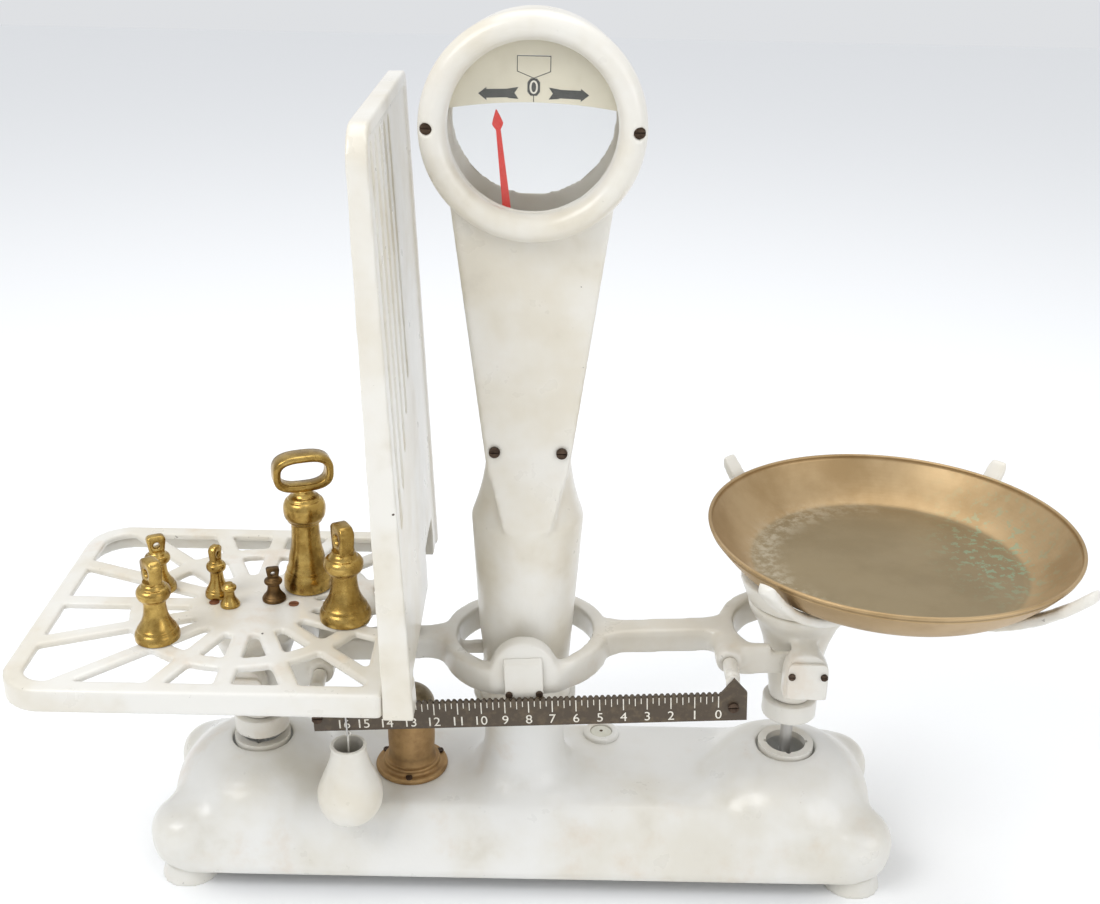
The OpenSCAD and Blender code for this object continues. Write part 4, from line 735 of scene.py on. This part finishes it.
def joined(parts: list[Surface]) -> Surface:
    """Several surfaces as one set of points and quads.

    Args:
        parts: points and quads of each.

    Returns:
        All points and all quads.
    """
    starts = np.cumsum([0] + [len(p) for p, _ in parts[:-1]])
    return np.vstack([p for p, _ in parts]), np.vstack([q + s for (_, q), s in zip(parts, starts)])


def slabs(corners: Array, y0: float, y1: float) -> Surface:
    """Thin four-cornered plates standing in the x-z plane.

    Args:
        corners: n x 4 x 2 corner points (x, z).
        y0: front face.
        y1: rear face.

    Returns:
        Points and quads of all plates.
    """
    n = len(corners)
    front = np.concatenate([corners[..., :1], np.full((n, 4, 1), y0), corners[..., 1:]], -1)
    back = front.copy()
    back[..., 1] = y1
    points = np.concatenate([front, back], 1).reshape(-1, 3)
    faces = np.array([[0, 1, 2, 3], [7, 6, 5, 4], [0, 4, 5, 1], [1, 5, 6, 2], [2, 6, 7, 3], [3, 7, 4, 0]])
    quads = (faces[None] + 8 * np.arange(n)[:, None, None]).reshape(-1, 4)
    return points, quads


def store(mesh: Mesh, name: str, values: Array) -> None:
    """Store one number for each point of a mesh.

    Args:
        mesh: the mesh.
        name: attribute name.
        values: one value for each point.
    """
    layer = mesh.attributes.new(name, "FLOAT", "POINT")
    layer.data.foreach_set("value", np.asarray(values, np.float32))


def points_of(mesh: Mesh) -> Array:
    """All points of a mesh, in metres."""
    co = np.empty(len(mesh.vertices) * 3)
    mesh.vertices.foreach_get("co", co)
    return co.reshape(-1, 3)


def neighbours(mesh: Mesh) -> tuple[Array, Array, Array]:
    """Both ends of every edge and the number of edges at every point.

    Args:
        mesh: the mesh.

    Returns:
        First ends, second ends, edge count of each point.
    """
    ends = np.empty(len(mesh.edges) * 2, np.int64)
    mesh.edges.foreach_get("vertices", ends)
    a, b = ends[::2], ends[1::2]
    count = np.bincount(np.concatenate([a, b]), minlength=len(mesh.vertices))
    return a, b, np.maximum(count, 1)


def mean_of_neighbours(values: Array, a: Array, b: Array, count: Array) -> Array:
    """Average of each point's neighbours, for a number or a vector on every point.

    Args:
        values: n or n x k values.
        a: first ends of the edges.
        b: second ends of the edges.
        count: edges at each point.

    Returns:
        The averages, same shape.
    """
    flat = values.reshape(len(count), -1)
    n = len(count)
    sums = [np.bincount(a, k[b], minlength=n) + np.bincount(b, k[a], minlength=n) for k in flat.T]
    out = np.stack(sums, -1)
    return (out / count[:, None]).reshape(values.shape)


def mark_relief(mesh: Mesh, spread: int = 6, gain: float = 1.0) -> None:
    """Store where the surface is hollow and where it is a ridge.

    The height of the neighbours' mean above the point, along its normal, over the mean edge
    length: above zero in a hollow, below zero on a ridge. It is then averaged a few times.

    Args:
        mesh: the mesh.
        spread: averaging passes.
        gain: multiplies the result.
    """
    p = points_of(mesh)
    normal = np.empty(len(mesh.vertices) * 3)
    mesh.vertex_normals.foreach_get("vector", normal)
    a, b, count = neighbours(mesh)
    length = np.linalg.norm(p[a] - p[b], axis=1).mean()
    bend = ((mean_of_neighbours(p, a, b, count) - p) * normal.reshape(-1, 3)).sum(1) / length
    for _ in range(spread):
        bend = 0.5 * bend + 0.5 * mean_of_neighbours(bend, a, b, count)
    store(mesh, "hollow", np.clip(bend * 8 * gain, 0, 1))
    store(mesh, "ridge", np.clip(-bend * 8 * gain, 0, 1))


# ------------------------------------------------------------------ castings


@dataclass
class Casting:
    """A casting: the solid's surface drawn on a fine even grid, its corners eased by the enamel.

    Attributes:
        node: solid it stands for.
        body: body it rides on.
        finish: its finish.
        grid: spacing of the surface points in millimetres.
        passes: rounds of easing.
        fill: rounds of filling hollow corners into cast fillets.
        also: further solids of the same body that the enamel runs over without a gap.
    """

    node: str
    body: str
    finish: Finish
    grid: float = 2.2
    passes: int = 10
    fill: int = 0
    also: tuple[str, ...] = ()

    def build(self) -> Piece:
        """Redraw, ease, mark hollows and dress the casting.

        Easing moves each point half way to its neighbours' mean, then a little more back, so
        corners round off but the casting doesn't shrink.

        Returns:
            The finished piece.
        """
        rough = bpy.data.objects.new("rough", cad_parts[self.node].data.copy())
        bpy.context.scene.collection.objects.link(rough)
        build = bmesh.new()
        for node in (self.node, *self.also):
            build.from_mesh(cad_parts[node].data)
        bmesh.ops.remove_doubles(build, verts=build.verts, dist=2e-6)
        build.to_mesh(rough.data)
        build.free()
        step = rough.modifiers.new("even", "REMESH")
        step.mode = "VOXEL"
        step.voxel_size = self.grid * MM
        step.use_smooth_shade = True
        seen = rough.evaluated_get(bpy.context.evaluated_depsgraph_get())
        mesh = bpy.data.meshes.new_from_object(seen)
        bpy.data.objects.remove(rough)
        mesh.name = self.node + "_skin"
        p = points_of(mesh)
        a, b, count = neighbours(mesh)
        for _ in range(self.passes):
            p += 0.5 * (mean_of_neighbours(p, a, b, count) - p)
            p -= 0.48 * (mean_of_neighbours(p, a, b, count) - p)
        mesh.vertices.foreach_set("co", p.ravel())
        mesh.update()
        for _ in range(self.fill):
            normal = np.empty(len(mesh.vertices) * 3)
            mesh.vertex_normals.foreach_get("vector", normal)
            normal = normal.reshape(-1, 3)
            lift = ((mean_of_neighbours(p, a, b, count) - p) * normal).sum(1)
            p += 0.9 * np.maximum(lift, 0.25 * lift)[:, None] * normal
            p += 0.25 * (mean_of_neighbours(p, a, b, count) - p) * (lift[:, None] > 0)
            mesh.vertices.foreach_set("co", p.ravel())
            mesh.update()
        mesh.polygons.foreach_set("use_smooth", np.full(len(mesh.polygons), True))
        mark_relief(mesh, 8, 1.6)
        piece = object_of(self.node + "_skin", mesh, self.finish, self.body, self.node)
        if self.also:
            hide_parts(*self.also)
        return piece


# ------------------------------------------------------------------ turned pieces


@dataclass
class Pan:
    """Lift-off pan spun from sheet bronze, with a rolled bead."""

    floor_r: float = 111.0
    rim_r: float = 150.6
    depth: float = 33.0
    sheet: float = 1.4
    bead: float = 1.6

    def build(self) -> None:
        """Turn the pan: flat floor, curved wall, bead; mark its radius and its darker floor."""
        n = 26
        u = np.linspace(0, 1, n)
        side_r = self.floor_r + (self.rim_r - self.sheet - self.floor_r) * u**0.8
        wall = np.stack([side_r, self.depth * u**1.25], -1)
        floor = np.stack([np.linspace(0, self.floor_r, 24, endpoint=False), np.zeros(24)], -1)
        angle = np.linspace(np.pi, -0.75 * np.pi, 16)
        bead = np.stack([self.rim_r - self.bead + self.bead * np.cos(angle),
                         self.depth + self.bead * np.sin(angle)], -1)
        under = wall[::-1] + np.array([self.sheet, -self.sheet])
        base = floor[::-1] + np.array([0.0, -self.sheet])
        profile = np.vstack([floor, wall[:-1], bead, under[1:], base])
        centre = SIZES.pan() + np.array([SIZES.pan_x, 0.0, SIZES.pan_floor])
        mesh = mesh_of("bronze_pan", *turned(profile, centre, False, 192))
        p = points_of(mesh) / MM - centre
        r = np.hypot(p[:, 0], p[:, 1])
        store(mesh, "radius", r * MM)
        store(mesh, "band", np.clip((self.floor_r + 3 - r) / 8, 0, 1) * 0.85)
        damp = np.exp(-(((p[:, 0] - 92) / 34) ** 2) - ((p[:, 1] - 18) / 62) ** 2)
        store(mesh, "green", np.clip(1.5 * damp, 0, 1) * (p[:, 2] > -0.5))
        left = np.exp(-(((r - self.floor_r + 9) / 13) ** 2)) * np.clip(0.35 - p[:, 0] / self.floor_r, 0, 1)
        store(mesh, "dust", np.clip(left, 0, 1) * (p[:, 2] > -0.5))
        store(mesh, "hollow", np.clip(1 - np.abs(r - self.floor_r) / 6, 0, 1) * 0.35)
        object_of("bronze_pan", mesh, BRONZE, "lift_off_pan", "pan")


@dataclass
class PoiseCup:
    """Pear-shaped balancing cup that hangs from the poise."""

    profile: list[tuple[float, float]] = field(default_factory=lambda: [
        (0, -79.5), (8, -79.4), (16, -76), (22.4, -68), (24.4, -58), (22.6, -47), (18, -36), (14.6, -26),
        (12.5, -17), (12.0, -11.4), (12.0, -10.8), (14.1, -10.7), (14.7, -11.2), (14.8, -12.5), (14.4, -14.5),
        (15.2, -21), (18.4, -32), (23.4, -44), (26.6, -54), (26.9, -61), (25.2, -69.5), (20.5, -77.5),
        (14, -82.2), (6, -83.5), (0, -83.6)])

    def build(self) -> None:
        """Turn the cup around the plumb line of its hook."""
        hang = SIZES.beam(np.array([SIZES.poise_x, SIZES.poise_y, SIZES.poise_z]))
        parts = [turned(curve_through(self.profile, 5), hang, False, 72)]
        angle = np.linspace(0, 2 * np.pi, 48, endpoint=False)
        loop = np.stack([1.9 * np.cos(angle), 0 * angle, 1.9 * np.sin(angle)], -1) + hang
        parts.append(swept(loop, 0.8, 12, True))
        stem = hang + np.stack([np.zeros(12), np.zeros(12), np.linspace(-1.9, -80.5, 12)], -1)
        parts.append(swept(stem, 0.8, 10))
        piece_of("poise_cup_shell", joined(parts), ENAMEL, "poise", "poise_cup", 2)


@dataclass
class Dashpot:
    """Damping cylinder: gold-painted body on a stepped flange, brass dome above."""

    radius: float = 20.4
    flange: float = 31.0
    height: float = 65.0
    dome: float = 16.0

    def build(self) -> None:
        """Turn the cylinder and its dome."""
        foot = SIZES.beam(np.array([SIZES.dashpot_x, 0.0, 0.0])) * np.array([1.0, 0.0, 0.0])
        foot = foot + np.array([0.0, 0.0, SIZES.base_top])
        r, f, h = self.radius, self.flange, self.height
        body = [(18, h), (18.4, h), (r - 0.5, h), (r, h - 0.5), (r, h - 3), (r, 30), (r, 12.2),
                (r + 0.4, 10.6),
                (r + 1.4, 10.05), (r + 3.4, 10), (r + 4, 9.4), (r + 4, 6.4), (r + 5, 5.2), (r + 6, 5),
                (f - 0.7, 5), (f, 4.3), (f, 0.7), (f - 0.6, 0), (f - 2, 0), (18, 0), (0, 0)]
        tube = turned(curve_through(body, 4), foot)
        piece_of("dashpot_body", tube, GOLD_PAINT, "base", "dashpot_cylinder", 3, 0.7)
        top = h + self.dome
        cap = [(3.3, top - 4), (3.3, top - 0.4), (3.9, top), (5.4, top - 0.2), (9.6, top - 1.5),
               (13.9, top - 4.3),
               (17.4, top - 8.2), (19.4, top - 11.8), (20.1, top - 13.6), (20.2, h + 0.3), (18.2, h + 0.2),
               (18.0, top - 13), (15.4, top - 9), (9, top - 5), (3.3, top - 4)]
        dome = turned(curve_through(cap, 4), foot)
        piece_of("dashpot_dome", dome, DOME_BRASS, "base", "dashpot_cap", 2, 0.7)


@dataclass
class Weight:
    """A bell weight of turned brass with a pierced grip, or a ring on the largest."""

    letter: str
    x: float
    y: float
    turn: float
    radius: float
    height: float
    grip: bool = True
    loop: bool = False
    finish: Finish = BRASS
    waist: float = 0.5
    collar: float = 0.76

    def bell(self, top: float, neck: float) -> Array:
        """Profile of the turned body.

        Args:
            top: height of the turned part.
            neck: radius at its top.

        Returns:
            (r, z) rows from the base's middle to the top's middle.
        """
        r = self.radius
        w, c = self.waist, self.collar
        share = [
            (0, 0.004), (0.9, 0.004), (0.985, 0.01), (1.0, 0.04), (0.995, 0.09), (0.96, 0.135), (0.9, 0.165),
            (0.885, 0.172), (0.87, 0.2), (0.8, 0.235), (w + 0.16, 0.32), (w + 0.05, 0.43), (w + 0.01, 0.54),
            (w, 0.62), (w + 0.02, 0.672), (c - 0.15, 0.69), (c - 0.14, 0.7), (c - 0.06, 0.725), (c, 0.785),
            (c - 0.02, 0.85), (c - 0.12, 0.893), (c - 0.2, 0.905), (c - 0.22, 0.915), (neck + 0.06, 0.945),
            (neck, 0.97), (neck * 0.98, 1.0), (neck * 0.9, 1.0), (0, 1.0),
        ]
        return curve_through([(a * r, b * top) for a, b in share], 5)

    def pierced(self, low: float) -> Surface:
        """Flat keystone grip with a round hole.

        Its outline is where the largest of the side distances is one, softened by a high power
        mean, so the corners are round. A small rectangle with rounded corners, from the outline in
        to the hole and back, is carried round it.

        Args:
            low: height where the grip starts.

        Returns:
            Points and quads about the weight's own axis.
        """
        r, h = self.radius, self.height
        middle = h - 0.5 * (h - low)
        half_h = 0.5 * (h - low) + 0.6
        hole = 0.2 * r
        angle = np.linspace(0, 2 * np.pi, 72, endpoint=False)
        sides = np.array([(0, 1, half_h), (0, -1, half_h), (0.98, -0.16, 0.5 * r), (-0.98, -0.16, 0.5 * r),
                          (0.75, 0.75, 0.62 * r + 0.2 * half_h), (-0.75, 0.75, 0.62 * r + 0.2 * half_h)])
        reach = (sides[:, 0, None] * np.cos(angle) + sides[:, 1, None] * np.sin(angle)) / sides[:, 2, None]
        outline = (np.maximum(reach, 0) ** 16).sum(0) ** (-1 / 16)
        t = 0.27 * r
        across = np.array([(1.0, -0.8), (0.94, -1.0), (0.12, -1.0), (0.0, -0.86), (0.0, 0.86), (0.12, 1.0),
                           (0.94, 1.0), (1.0, 0.8)])
        span = hole + (outline[None, :] - hole) * across[:, :1]
        x = span * np.cos(angle)
        z = middle + span * np.sin(angle)
        y = across[:, 1:] * t + 0 * angle
        return np.stack([x, y, z], -1).reshape(-1, 3), grid_quads(8, 72, True, True)

    def stirrup(self, width: float = 50.0, high: float = 33.0, strap: float = 6.0,
                broad: float = 19.0) -> Surface:
        """Flat strap bent into a rounded oblong loop.

        Its centre line is a superellipse of power 2.9, flatter along the top; a flat oblong with
        rounded corners is carried round it, a little narrower at the foot.

        Args:
            width: outside width.
            high: outside height.
            strap: strap thickness.
            broad: strap breadth.

        Returns:
            Points and quads about the weight's own axis.
        """
        angle = np.linspace(0, 2 * np.pi, 96, endpoint=False)
        c, s = np.cos(angle), np.sin(angle)
        reach = (np.abs(c) ** 2.9 + np.abs(s) ** 2.9) ** (-1 / 2.9)
        across = np.array([(-1.0, -0.8), (-0.7, -1.0), (0.7, -1.0), (1.0, -0.8), (1.0, 0.8), (0.7, 1.0),
                           (-0.7, 1.0), (-1.0, 0.8)])
        half_x, half_z = (width - strap) / 2, (high - strap) / 2
        x = c * reach * (half_x + across[:, :1] * strap / 2)
        z = s * reach * (half_z + across[:, :1] * strap / 2) + self.height - 1 + high / 2
        y = across[:, 1:] * broad / 2 * (0.86 + 0.14 * s)
        return np.stack([x, y, z], -1).reshape(-1, 3), grid_quads(8, 96, True, True)

    def build(self) -> None:
        """Turn the body, add its grip or loop, set it on the platform and dress it."""
        top = 0.74 * self.height if self.grip else self.height
        parts = [turned(self.bell(top, 0.44 if self.grip else 0.4), np.zeros(3), False, 64)]
        if self.grip:
            parts.append(self.pierced(top - 0.04 * self.height))
        if self.loop:
            parts.append(self.stirrup())
        points, quads = joined(parts)
        a = math.radians(self.turn)
        spin = np.array([[math.cos(a), -math.sin(a), 0], [math.sin(a), math.cos(a), 0], [0, 0, 1]])
        spot = np.array([SIZES.goods()[0] + self.x, self.y, SIZES.plate_level()])
        name = f"weight_{self.letter}"
        piece_of(name + "_brass", (points @ spin.T + spot, quads), self.finish, name + "_body", name, 1, 0.8)


# ------------------------------------------------------------------ prints


def numeral(text: str, height: float, at: tuple[float, float]) -> Surface:
    """Outline of a plain number as flat triangles in the x-z plane.

    Args:
        text: digits.
        height: height of the digits.
        at: middle of the number (x, z).

    Returns:
        Points (x, z) and triangles.
    """
    curve = bpy.data.curves.new("number", "FONT")
    curve.body = text
    curve.align_x = "CENTER"
    curve.size = 1.0
    piece = bpy.data.objects.new("number", curve)
    bpy.context.scene.collection.objects.link(piece)
    mesh = bpy.data.meshes.new_from_object(piece.evaluated_get(bpy.context.evaluated_depsgraph_get()))
    mesh.calc_loop_triangles()
    tri = np.empty(len(mesh.loop_triangles) * 3, np.int64)
    mesh.loop_triangles.foreach_get("vertices", tri)
    flat = points_of(mesh)[:, :2]
    low, high = flat.min(0), flat.max(0)
    scale = height / (high[1] - low[1])
    flat = (flat - (low + high) / 2) * scale + np.array(at)
    bpy.data.objects.remove(piece)
    bpy.data.curves.remove(curve)
    bpy.data.meshes.remove(mesh)
    return flat, tri.reshape(-1, 3)


@dataclass
class BarMarks:
    """Off-white lines and numbers filled into the graduated bar."""

    front: float = 75.5
    zero: float = 155.6
    pitch: float = 4.7625
    top: float = -5.8
    steps: int = 64
    digit_high: float = 8.1
    digit_drop: float = 19.2
    last_shift: float = 3.2

    def build(self) -> None:
        """One line below each notch, longer at full units, and a number at each full unit.

        A line's length is long at every fourth notch, middling at every second and short at the
        others.
        """
        i = np.arange(self.steps + 1)
        x = self.zero - i * self.pitch
        long = np.where(i % 4 == 0, 10.5, np.where(i % 2 == 0, 7.0, 5.0))
        half = np.where(i % 4 == 0, 0.42, 0.33)
        high = np.full(len(i), self.top - 2.4)
        corners = np.stack([np.stack([x - half, high], -1), np.stack([x - half, high - long], -1),
                            np.stack([x + half, high - long], -1), np.stack([x + half, high], -1)], 1)
        points, quads = slabs(corners, -self.front - 0.12, -self.front + 0.05)
        piece_of("bar_lines", (SIZES.beam(points), quads), BAR_MARKS, "beam", smooth=False)
        flats, faces, start = [], [], 0
        for unit in range(self.steps // 4 + 1):
            shift = self.last_shift if unit == self.steps // 4 else 0.0
            spot = (self.zero - unit * 4 * self.pitch + shift, self.top - self.digit_drop)
            flat, tri = numeral(str(unit), self.digit_high, spot)
            flats.append(flat)
            faces.append(tri + start)
            start += len(flat)
        flat, tri = np.vstack(flats), np.vstack(faces)
        spots = np.stack([flat[:, 0], np.full(len(flat), -self.front - 0.12), flat[:, 1]], -1)
        mesh = bpy.data.meshes.new("bar_numbers")
        mesh.from_pydata((SIZES.beam(spots) * MM).tolist(), [], tri.tolist())
        mesh.update()
        object_of("bar_numbers", mesh, BAR_MARKS, "beam")


@dataclass
class DialPrint:
    """Printed marks on the cream plate: an empty label frame, a nought and two arrows."""

    face_y: float = 31.1
    line: float = 0.55

    def stroke(self, knots: list[tuple[float, float]]) -> list[list[tuple[float, float]]]:
        """Straight printed lines between knots.

        Each line is a thin oblong, longer by its own width so that corners meet.

        Args:
            knots: points (x, z) from the dial's middle.

        Returns:
            Four corners of each line.
        """
        p = np.array(knots, float)
        ahead = np.diff(p, axis=0)
        ahead /= np.linalg.norm(ahead, axis=1)[:, None]
        side = np.stack([-ahead[:, 1], ahead[:, 0]], -1) * self.line / 2
        a, b = p[:-1] - ahead * self.line / 2, p[1:] + ahead * self.line / 2
        return np.stack([a + side, a - side, b - side, b + side], 1).tolist()

    def build(self) -> None:
        """Lay the frame, the eight-sided field, the arrows and the nought on the plate."""
        middle = np.array([SIZES.column_x, SIZES.dial_z])
        frame_line = [(-11.6, 47.6), (11.6, 47.6), (11.6, 37.2), (0, 32.6), (-11.6, 37.2), (-11.6, 47.6)]
        shapes = self.stroke(frame_line) + self.stroke([(0, 20.8), (0, 16.6)])
        shapes += [[(-4.4, 23.2), (-4.4, 29.8), (4.4, 29.8), (4.4, 23.2)],
                   [(-4.4, 29.8), (-2.2, 32.4), (2.2, 32.4), (4.4, 29.8)],
                   [(-2.2, 20.6), (-4.4, 23.2), (4.4, 23.2), (2.2, 20.6)]]
        for side in (-1, 1):
            shapes += [[(side * x, z) for x, z in corners] for corners in (
                [(10.6, 26.4), (13.4, 22.3), (18.0, 23.9), (18.0, 25.2)],
                [(13.4, 22.3), (10.6, 18.2), (18.0, 18.7), (18.0, 23.9)],
                [(18.0, 25.0), (18.0, 19.2), (33.0, 18.6), (33.0, 24.6)],
                [(33.0, 26.0), (33.0, 17.0), (38.7, 21.4), (38.7, 21.6)])]
        label = np.array([[(-11.6, 47.6), (-11.6, 37.2), (0, 32.6), (0, 47.6)],
                          [(0, 47.6), (0, 32.6), (11.6, 37.2), (11.6, 47.6)]], float) + middle
        paper = slabs(label, -self.face_y - 0.04, -self.face_y + 0.1)
        piece_of("dial_label", paper, CREAM, "base", smooth=False)
        marks = np.array(shapes, float) + middle
        ink = slabs(marks, -self.face_y - 0.08, -self.face_y + 0.1)
        piece_of("dial_marks", ink, PRINT, "base", smooth=False)
        flat, tri = numeral("0", 9.2, (middle[0], middle[1] + 26.5))
        spots = np.stack([flat[:, 0], np.full(len(flat), -self.face_y - 0.2), flat[:, 1]], -1) * MM
        mesh = bpy.data.meshes.new("dial_nought")
        mesh.from_pydata(spots.tolist(), [], tri.tolist())
        mesh.update()
        object_of("dial_nought", mesh, BAR_MARKS, "base")


@dataclass
class SpiritLevel:
    """Bull's-eye level: a white ring, a domed glass and a small centre ring."""

    x: float = 69.7
    y: float = 52.0

    def build(self) -> None:
        """Turn the ring, the dome and the centre ring."""
        foot = np.array([SIZES.column_x + self.x, self.y, SIZES.base_top])
        ring = curve_through([(10.1, 2.0), (10.1, 3.4), (10.7, 4.0), (12, 4.1), (14.6, 3.9), (16.0, 3.0),
                              (16.4, 1.6), (16.4, 0.3), (16.1, 0.0), (10, 0.0), (0, 0.0)], 4)
        surface = turned(np.vstack([[[0, 2.0]], ring]), foot)
        piece_of("level_ring_turned", surface, ENAMEL_BASE, "base", "level_ring", 2)
        dome = curve_through([(0, 3.6), (3, 3.55), (6.5, 3.2), (9.6, 2.5), (9.9, 2.1), (0, 2.05)], 5)
        piece_of("level_face", turned(dome, foot), LEVEL_FLUID, "base", "level_glass")
        dot = curve_through([(0, 3.95), (0.9, 3.95), (1.5, 3.7), (1.5, 3.4), (0, 3.4)], 3)
        piece_of("level_centre", turned(dot, foot, False, 32), OXIDE, "base")


# ------------------------------------------------------------------ dressing the solids


SOLID_FINISHES: dict[Finish, list[str]] = {
    ENAMEL: ["neck_inserts", "check_bracket"],
    STEEL: ["fulcrum_bar", "fulcrum_bearings", "end_knives", "beam_pins", "check_beam", "check_pins",
            "goods_rod", "pan_rod", "pointer_arbor", "pointer_link", "plunger", "poise_hook"],
    ZINC: ["bracket_screws"],
    OXIDE: ["cover_screws", "bezel_screws", "fulcrum_cap_screws", "bar_screws", "goods_cover_screws",
            "pan_cover_screws", "spider_screws", "dashpot_screws"],
    RUST: ["platform_screws"],
    BAR_BROWN: ["graduated_bar"],
    CREAM: ["dial_plate"],
    RED: ["pointer"],
    GLASS: ["front_glass", "rear_glass"],
}

CASTINGS = [
    Casting("base_casting", "base", ENAMEL_BASE, 2.8, 10, fill=70),
    Casting("foot_pads", "base", ENAMEL_BASE, 1.6, 8),
    Casting("tower_casting", "base", ENAMEL_TOWER, 1.94, 8, fill=12, also=("tower_cover",)),
    Casting("bezel", "base", ENAMEL_TOWER, 1.3, 4),
    Casting("beam_casting", "beam", ENAMEL_BEAM, 1.8, 10, fill=30),
    Casting("bar_hangers", "beam", ENAMEL_BEAM, 1.0, 6),
    Casting("fulcrum_cap", "beam", ENAMEL_BEAM, 0.8, 8),
    Casting("goods_hub", "goods_stem", ENAMEL_BEAM, 1.8, 8, fill=20),
    Casting("goods_cover", "goods_stem", ENAMEL_BEAM, 0.8, 8),
    Casting("goods_skirt", "goods_stem", ENAMEL_BEAM, 1.2, 6),
    Casting("pan_hub", "pan_stem", ENAMEL_BEAM, 1.8, 8, fill=20),
    Casting("pan_cover", "pan_stem", ENAMEL_BEAM, 0.8, 8),
    Casting("pan_skirt", "pan_stem", ENAMEL_BEAM, 1.2, 6),
    Casting("pan_spider", "pan_stem", ENAMEL, 2.0, 10, fill=20),
    Casting("platform", "goods_stem", ENAMEL_PLATE, 1.7, 5),
    Casting("guard", "goods_stem", ENAMEL_TOWER, 1.68, 3),
    Casting("guard_bracket", "goods_stem", ENAMEL_TOWER, 1.2, 5),
]

WEIGHTS = [
    Weight("a", 40.5, 31.6, 20, 20.3, 92, False, True, waist=0.58, collar=0.87),
    Weight("b", 80, -22.4, -60, 21.2, 85),
    Weight("c", -65, -59.3, -50, 17.8, 69.6),
    Weight("d", -83.7, 20.2, 25, 14, 50.3),
    Weight("e", -32.6, 12.2, 70, 10.7, 46.2),
    Weight("f", 15.8, 6.5, 15, 9.9, 29.6, finish=BRASS_DARK),
    Weight("g", -18.8, -5.1, 40, 8.2, 20.9, False),
]


def dress_solids() -> None:
    """Give every solid that stays visible its finish."""
    for finish, nodes in SOLID_FINISHES.items():
        for node in nodes:
            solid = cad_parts[node]
            if not solid.material_slots:
                solid.data.materials.append(None)
            for spot in solid.material_slots:
                spot.material = finish.material()
            LOG.info("%s: %s", node, finish.name)


# ------------------------------------------------------------------ stage, light, camera


@dataclass
class Studio:
    """Plain pale floor, soft light and the camera."""

    focal_mm: float = 45.818
    place: tuple[float, float, float] = (12.7, -1028.9, 814.8)
    pitch: float = 23.119
    yaw: float = 0.241
    roll: float = 1.252

    def floor(self) -> None:
        """A wide matt floor that isn't part of the object."""
        side = 6000.0
        points = np.array([[-side, -side, 0], [side, -side, 0], [side, side, 0], [-side, side, 0]], float)
        mesh = mesh_of("floor", points, np.array([[0, 1, 2, 3]]), False)
        if mesh.polygons[0].normal.z < 0:
            mesh.flip_normals()
        piece = bpy.data.objects.new("floor", mesh)
        bpy.context.scene.collection.objects.link(piece)
        paint = FlatPaint("matt_studio_floor", tone="#fafbfc", worn="#f8f9fa", low_rough=0.7, high_rough=0.8)
        mesh.materials.append(paint.material())

    def lamp(self, name: str, at: tuple[float, float, float], aim: tuple[float, float, float], size: float,
             power: float) -> None:
        """A square soft lamp.

        Args:
            name: lamp name.
            at: place in metres.
            aim: point it looks at.
            size: side of the lamp.
            power: watts.
        """
        data = bpy.data.lights.new(name, "AREA")
        data.size = size
        data.energy = power
        lamp = bpy.data.objects.new(name, data)
        bpy.context.scene.collection.objects.link(lamp)
        ahead = np.array(aim) - np.array(at)
        back = -ahead / np.linalg.norm(ahead)
        right = np.cross([0.0, 0.0, 1.0], back)
        right /= np.linalg.norm(right)
        up = np.cross(back, right)
        turn = np.stack([right, up, back], 1)
        lamp.matrix_world = Matrix([[*turn[i], at[i]] for i in range(3)] + [[0, 0, 0, 1]])

    def camera(self) -> None:
        """The camera: its three axes from pitch, yaw and roll."""
        p, w, r = (math.radians(v) for v in (self.pitch, self.yaw, self.roll))
        ahead = np.array([math.sin(w) * math.cos(p), math.cos(w) * math.cos(p), -math.sin(p)])
        level = np.array([math.cos(w), -math.sin(w), 0.0])
        down = np.cross(ahead, level)
        right = math.cos(r) * level - math.sin(r) * down
        low = math.sin(r) * level + math.cos(r) * down
        data = bpy.data.cameras.new("camera")
        data.sensor_width = 36.0
        data.lens = self.focal_mm
        data.clip_start = 0.05
        data.clip_end = 60.0
        camera = bpy.data.objects.new("camera", data)
        bpy.context.scene.collection.objects.link(camera)
        at = (np.array(self.place) + np.array([SIZES.column_x, 0, 0])) * MM
        turn = np.stack([right, -low, -ahead], 1)
        camera.matrix_world = Matrix([[*turn[i], at[i]] for i in range(3)] + [[0, 0, 0, 1]])
        bpy.context.scene.camera = camera

    def build(self) -> None:
        """Floor, sky, lamps and camera."""
        self.floor()
        world = bpy.data.worlds.new("studio")
        world.use_nodes = True
        world.node_tree.nodes["Background"].inputs["Color"].default_value = linear("#f6f8fb")
        world.node_tree.nodes["Background"].inputs["Strength"].default_value = 0.8
        bpy.context.scene.world = world
        bpy.context.scene.view_settings.view_transform = "Standard"
        self.lamp("key", (-1.5, -1.3, 2.3), (0.0, 0.0, 0.25), 1.4, 32.0)
        self.lamp("fill", (1.8, -1.4, 1.2), (0.0, 0.0, 0.3), 1.6, 12.0)
        self.lamp("top", (0.1, 0.5, 2.6), (0.0, 0.0, 0.2), 1.8, 20.0)
        self.camera()


def main() -> None:
    """Build the balance's pieces in order, then the studio."""
    logging.basicConfig(level=logging.INFO, format="%(message)s")
    dress_solids()
    for casting in CASTINGS:
        casting.build()
    Pan().build()
    PoiseCup().build()
    Dashpot().build()
    for weight in WEIGHTS:
        weight.build()
    BarMarks().build()
    DialPrint().build()
    SpiritLevel().build()
    Studio().build()


if __name__ == "__main__":
    main()
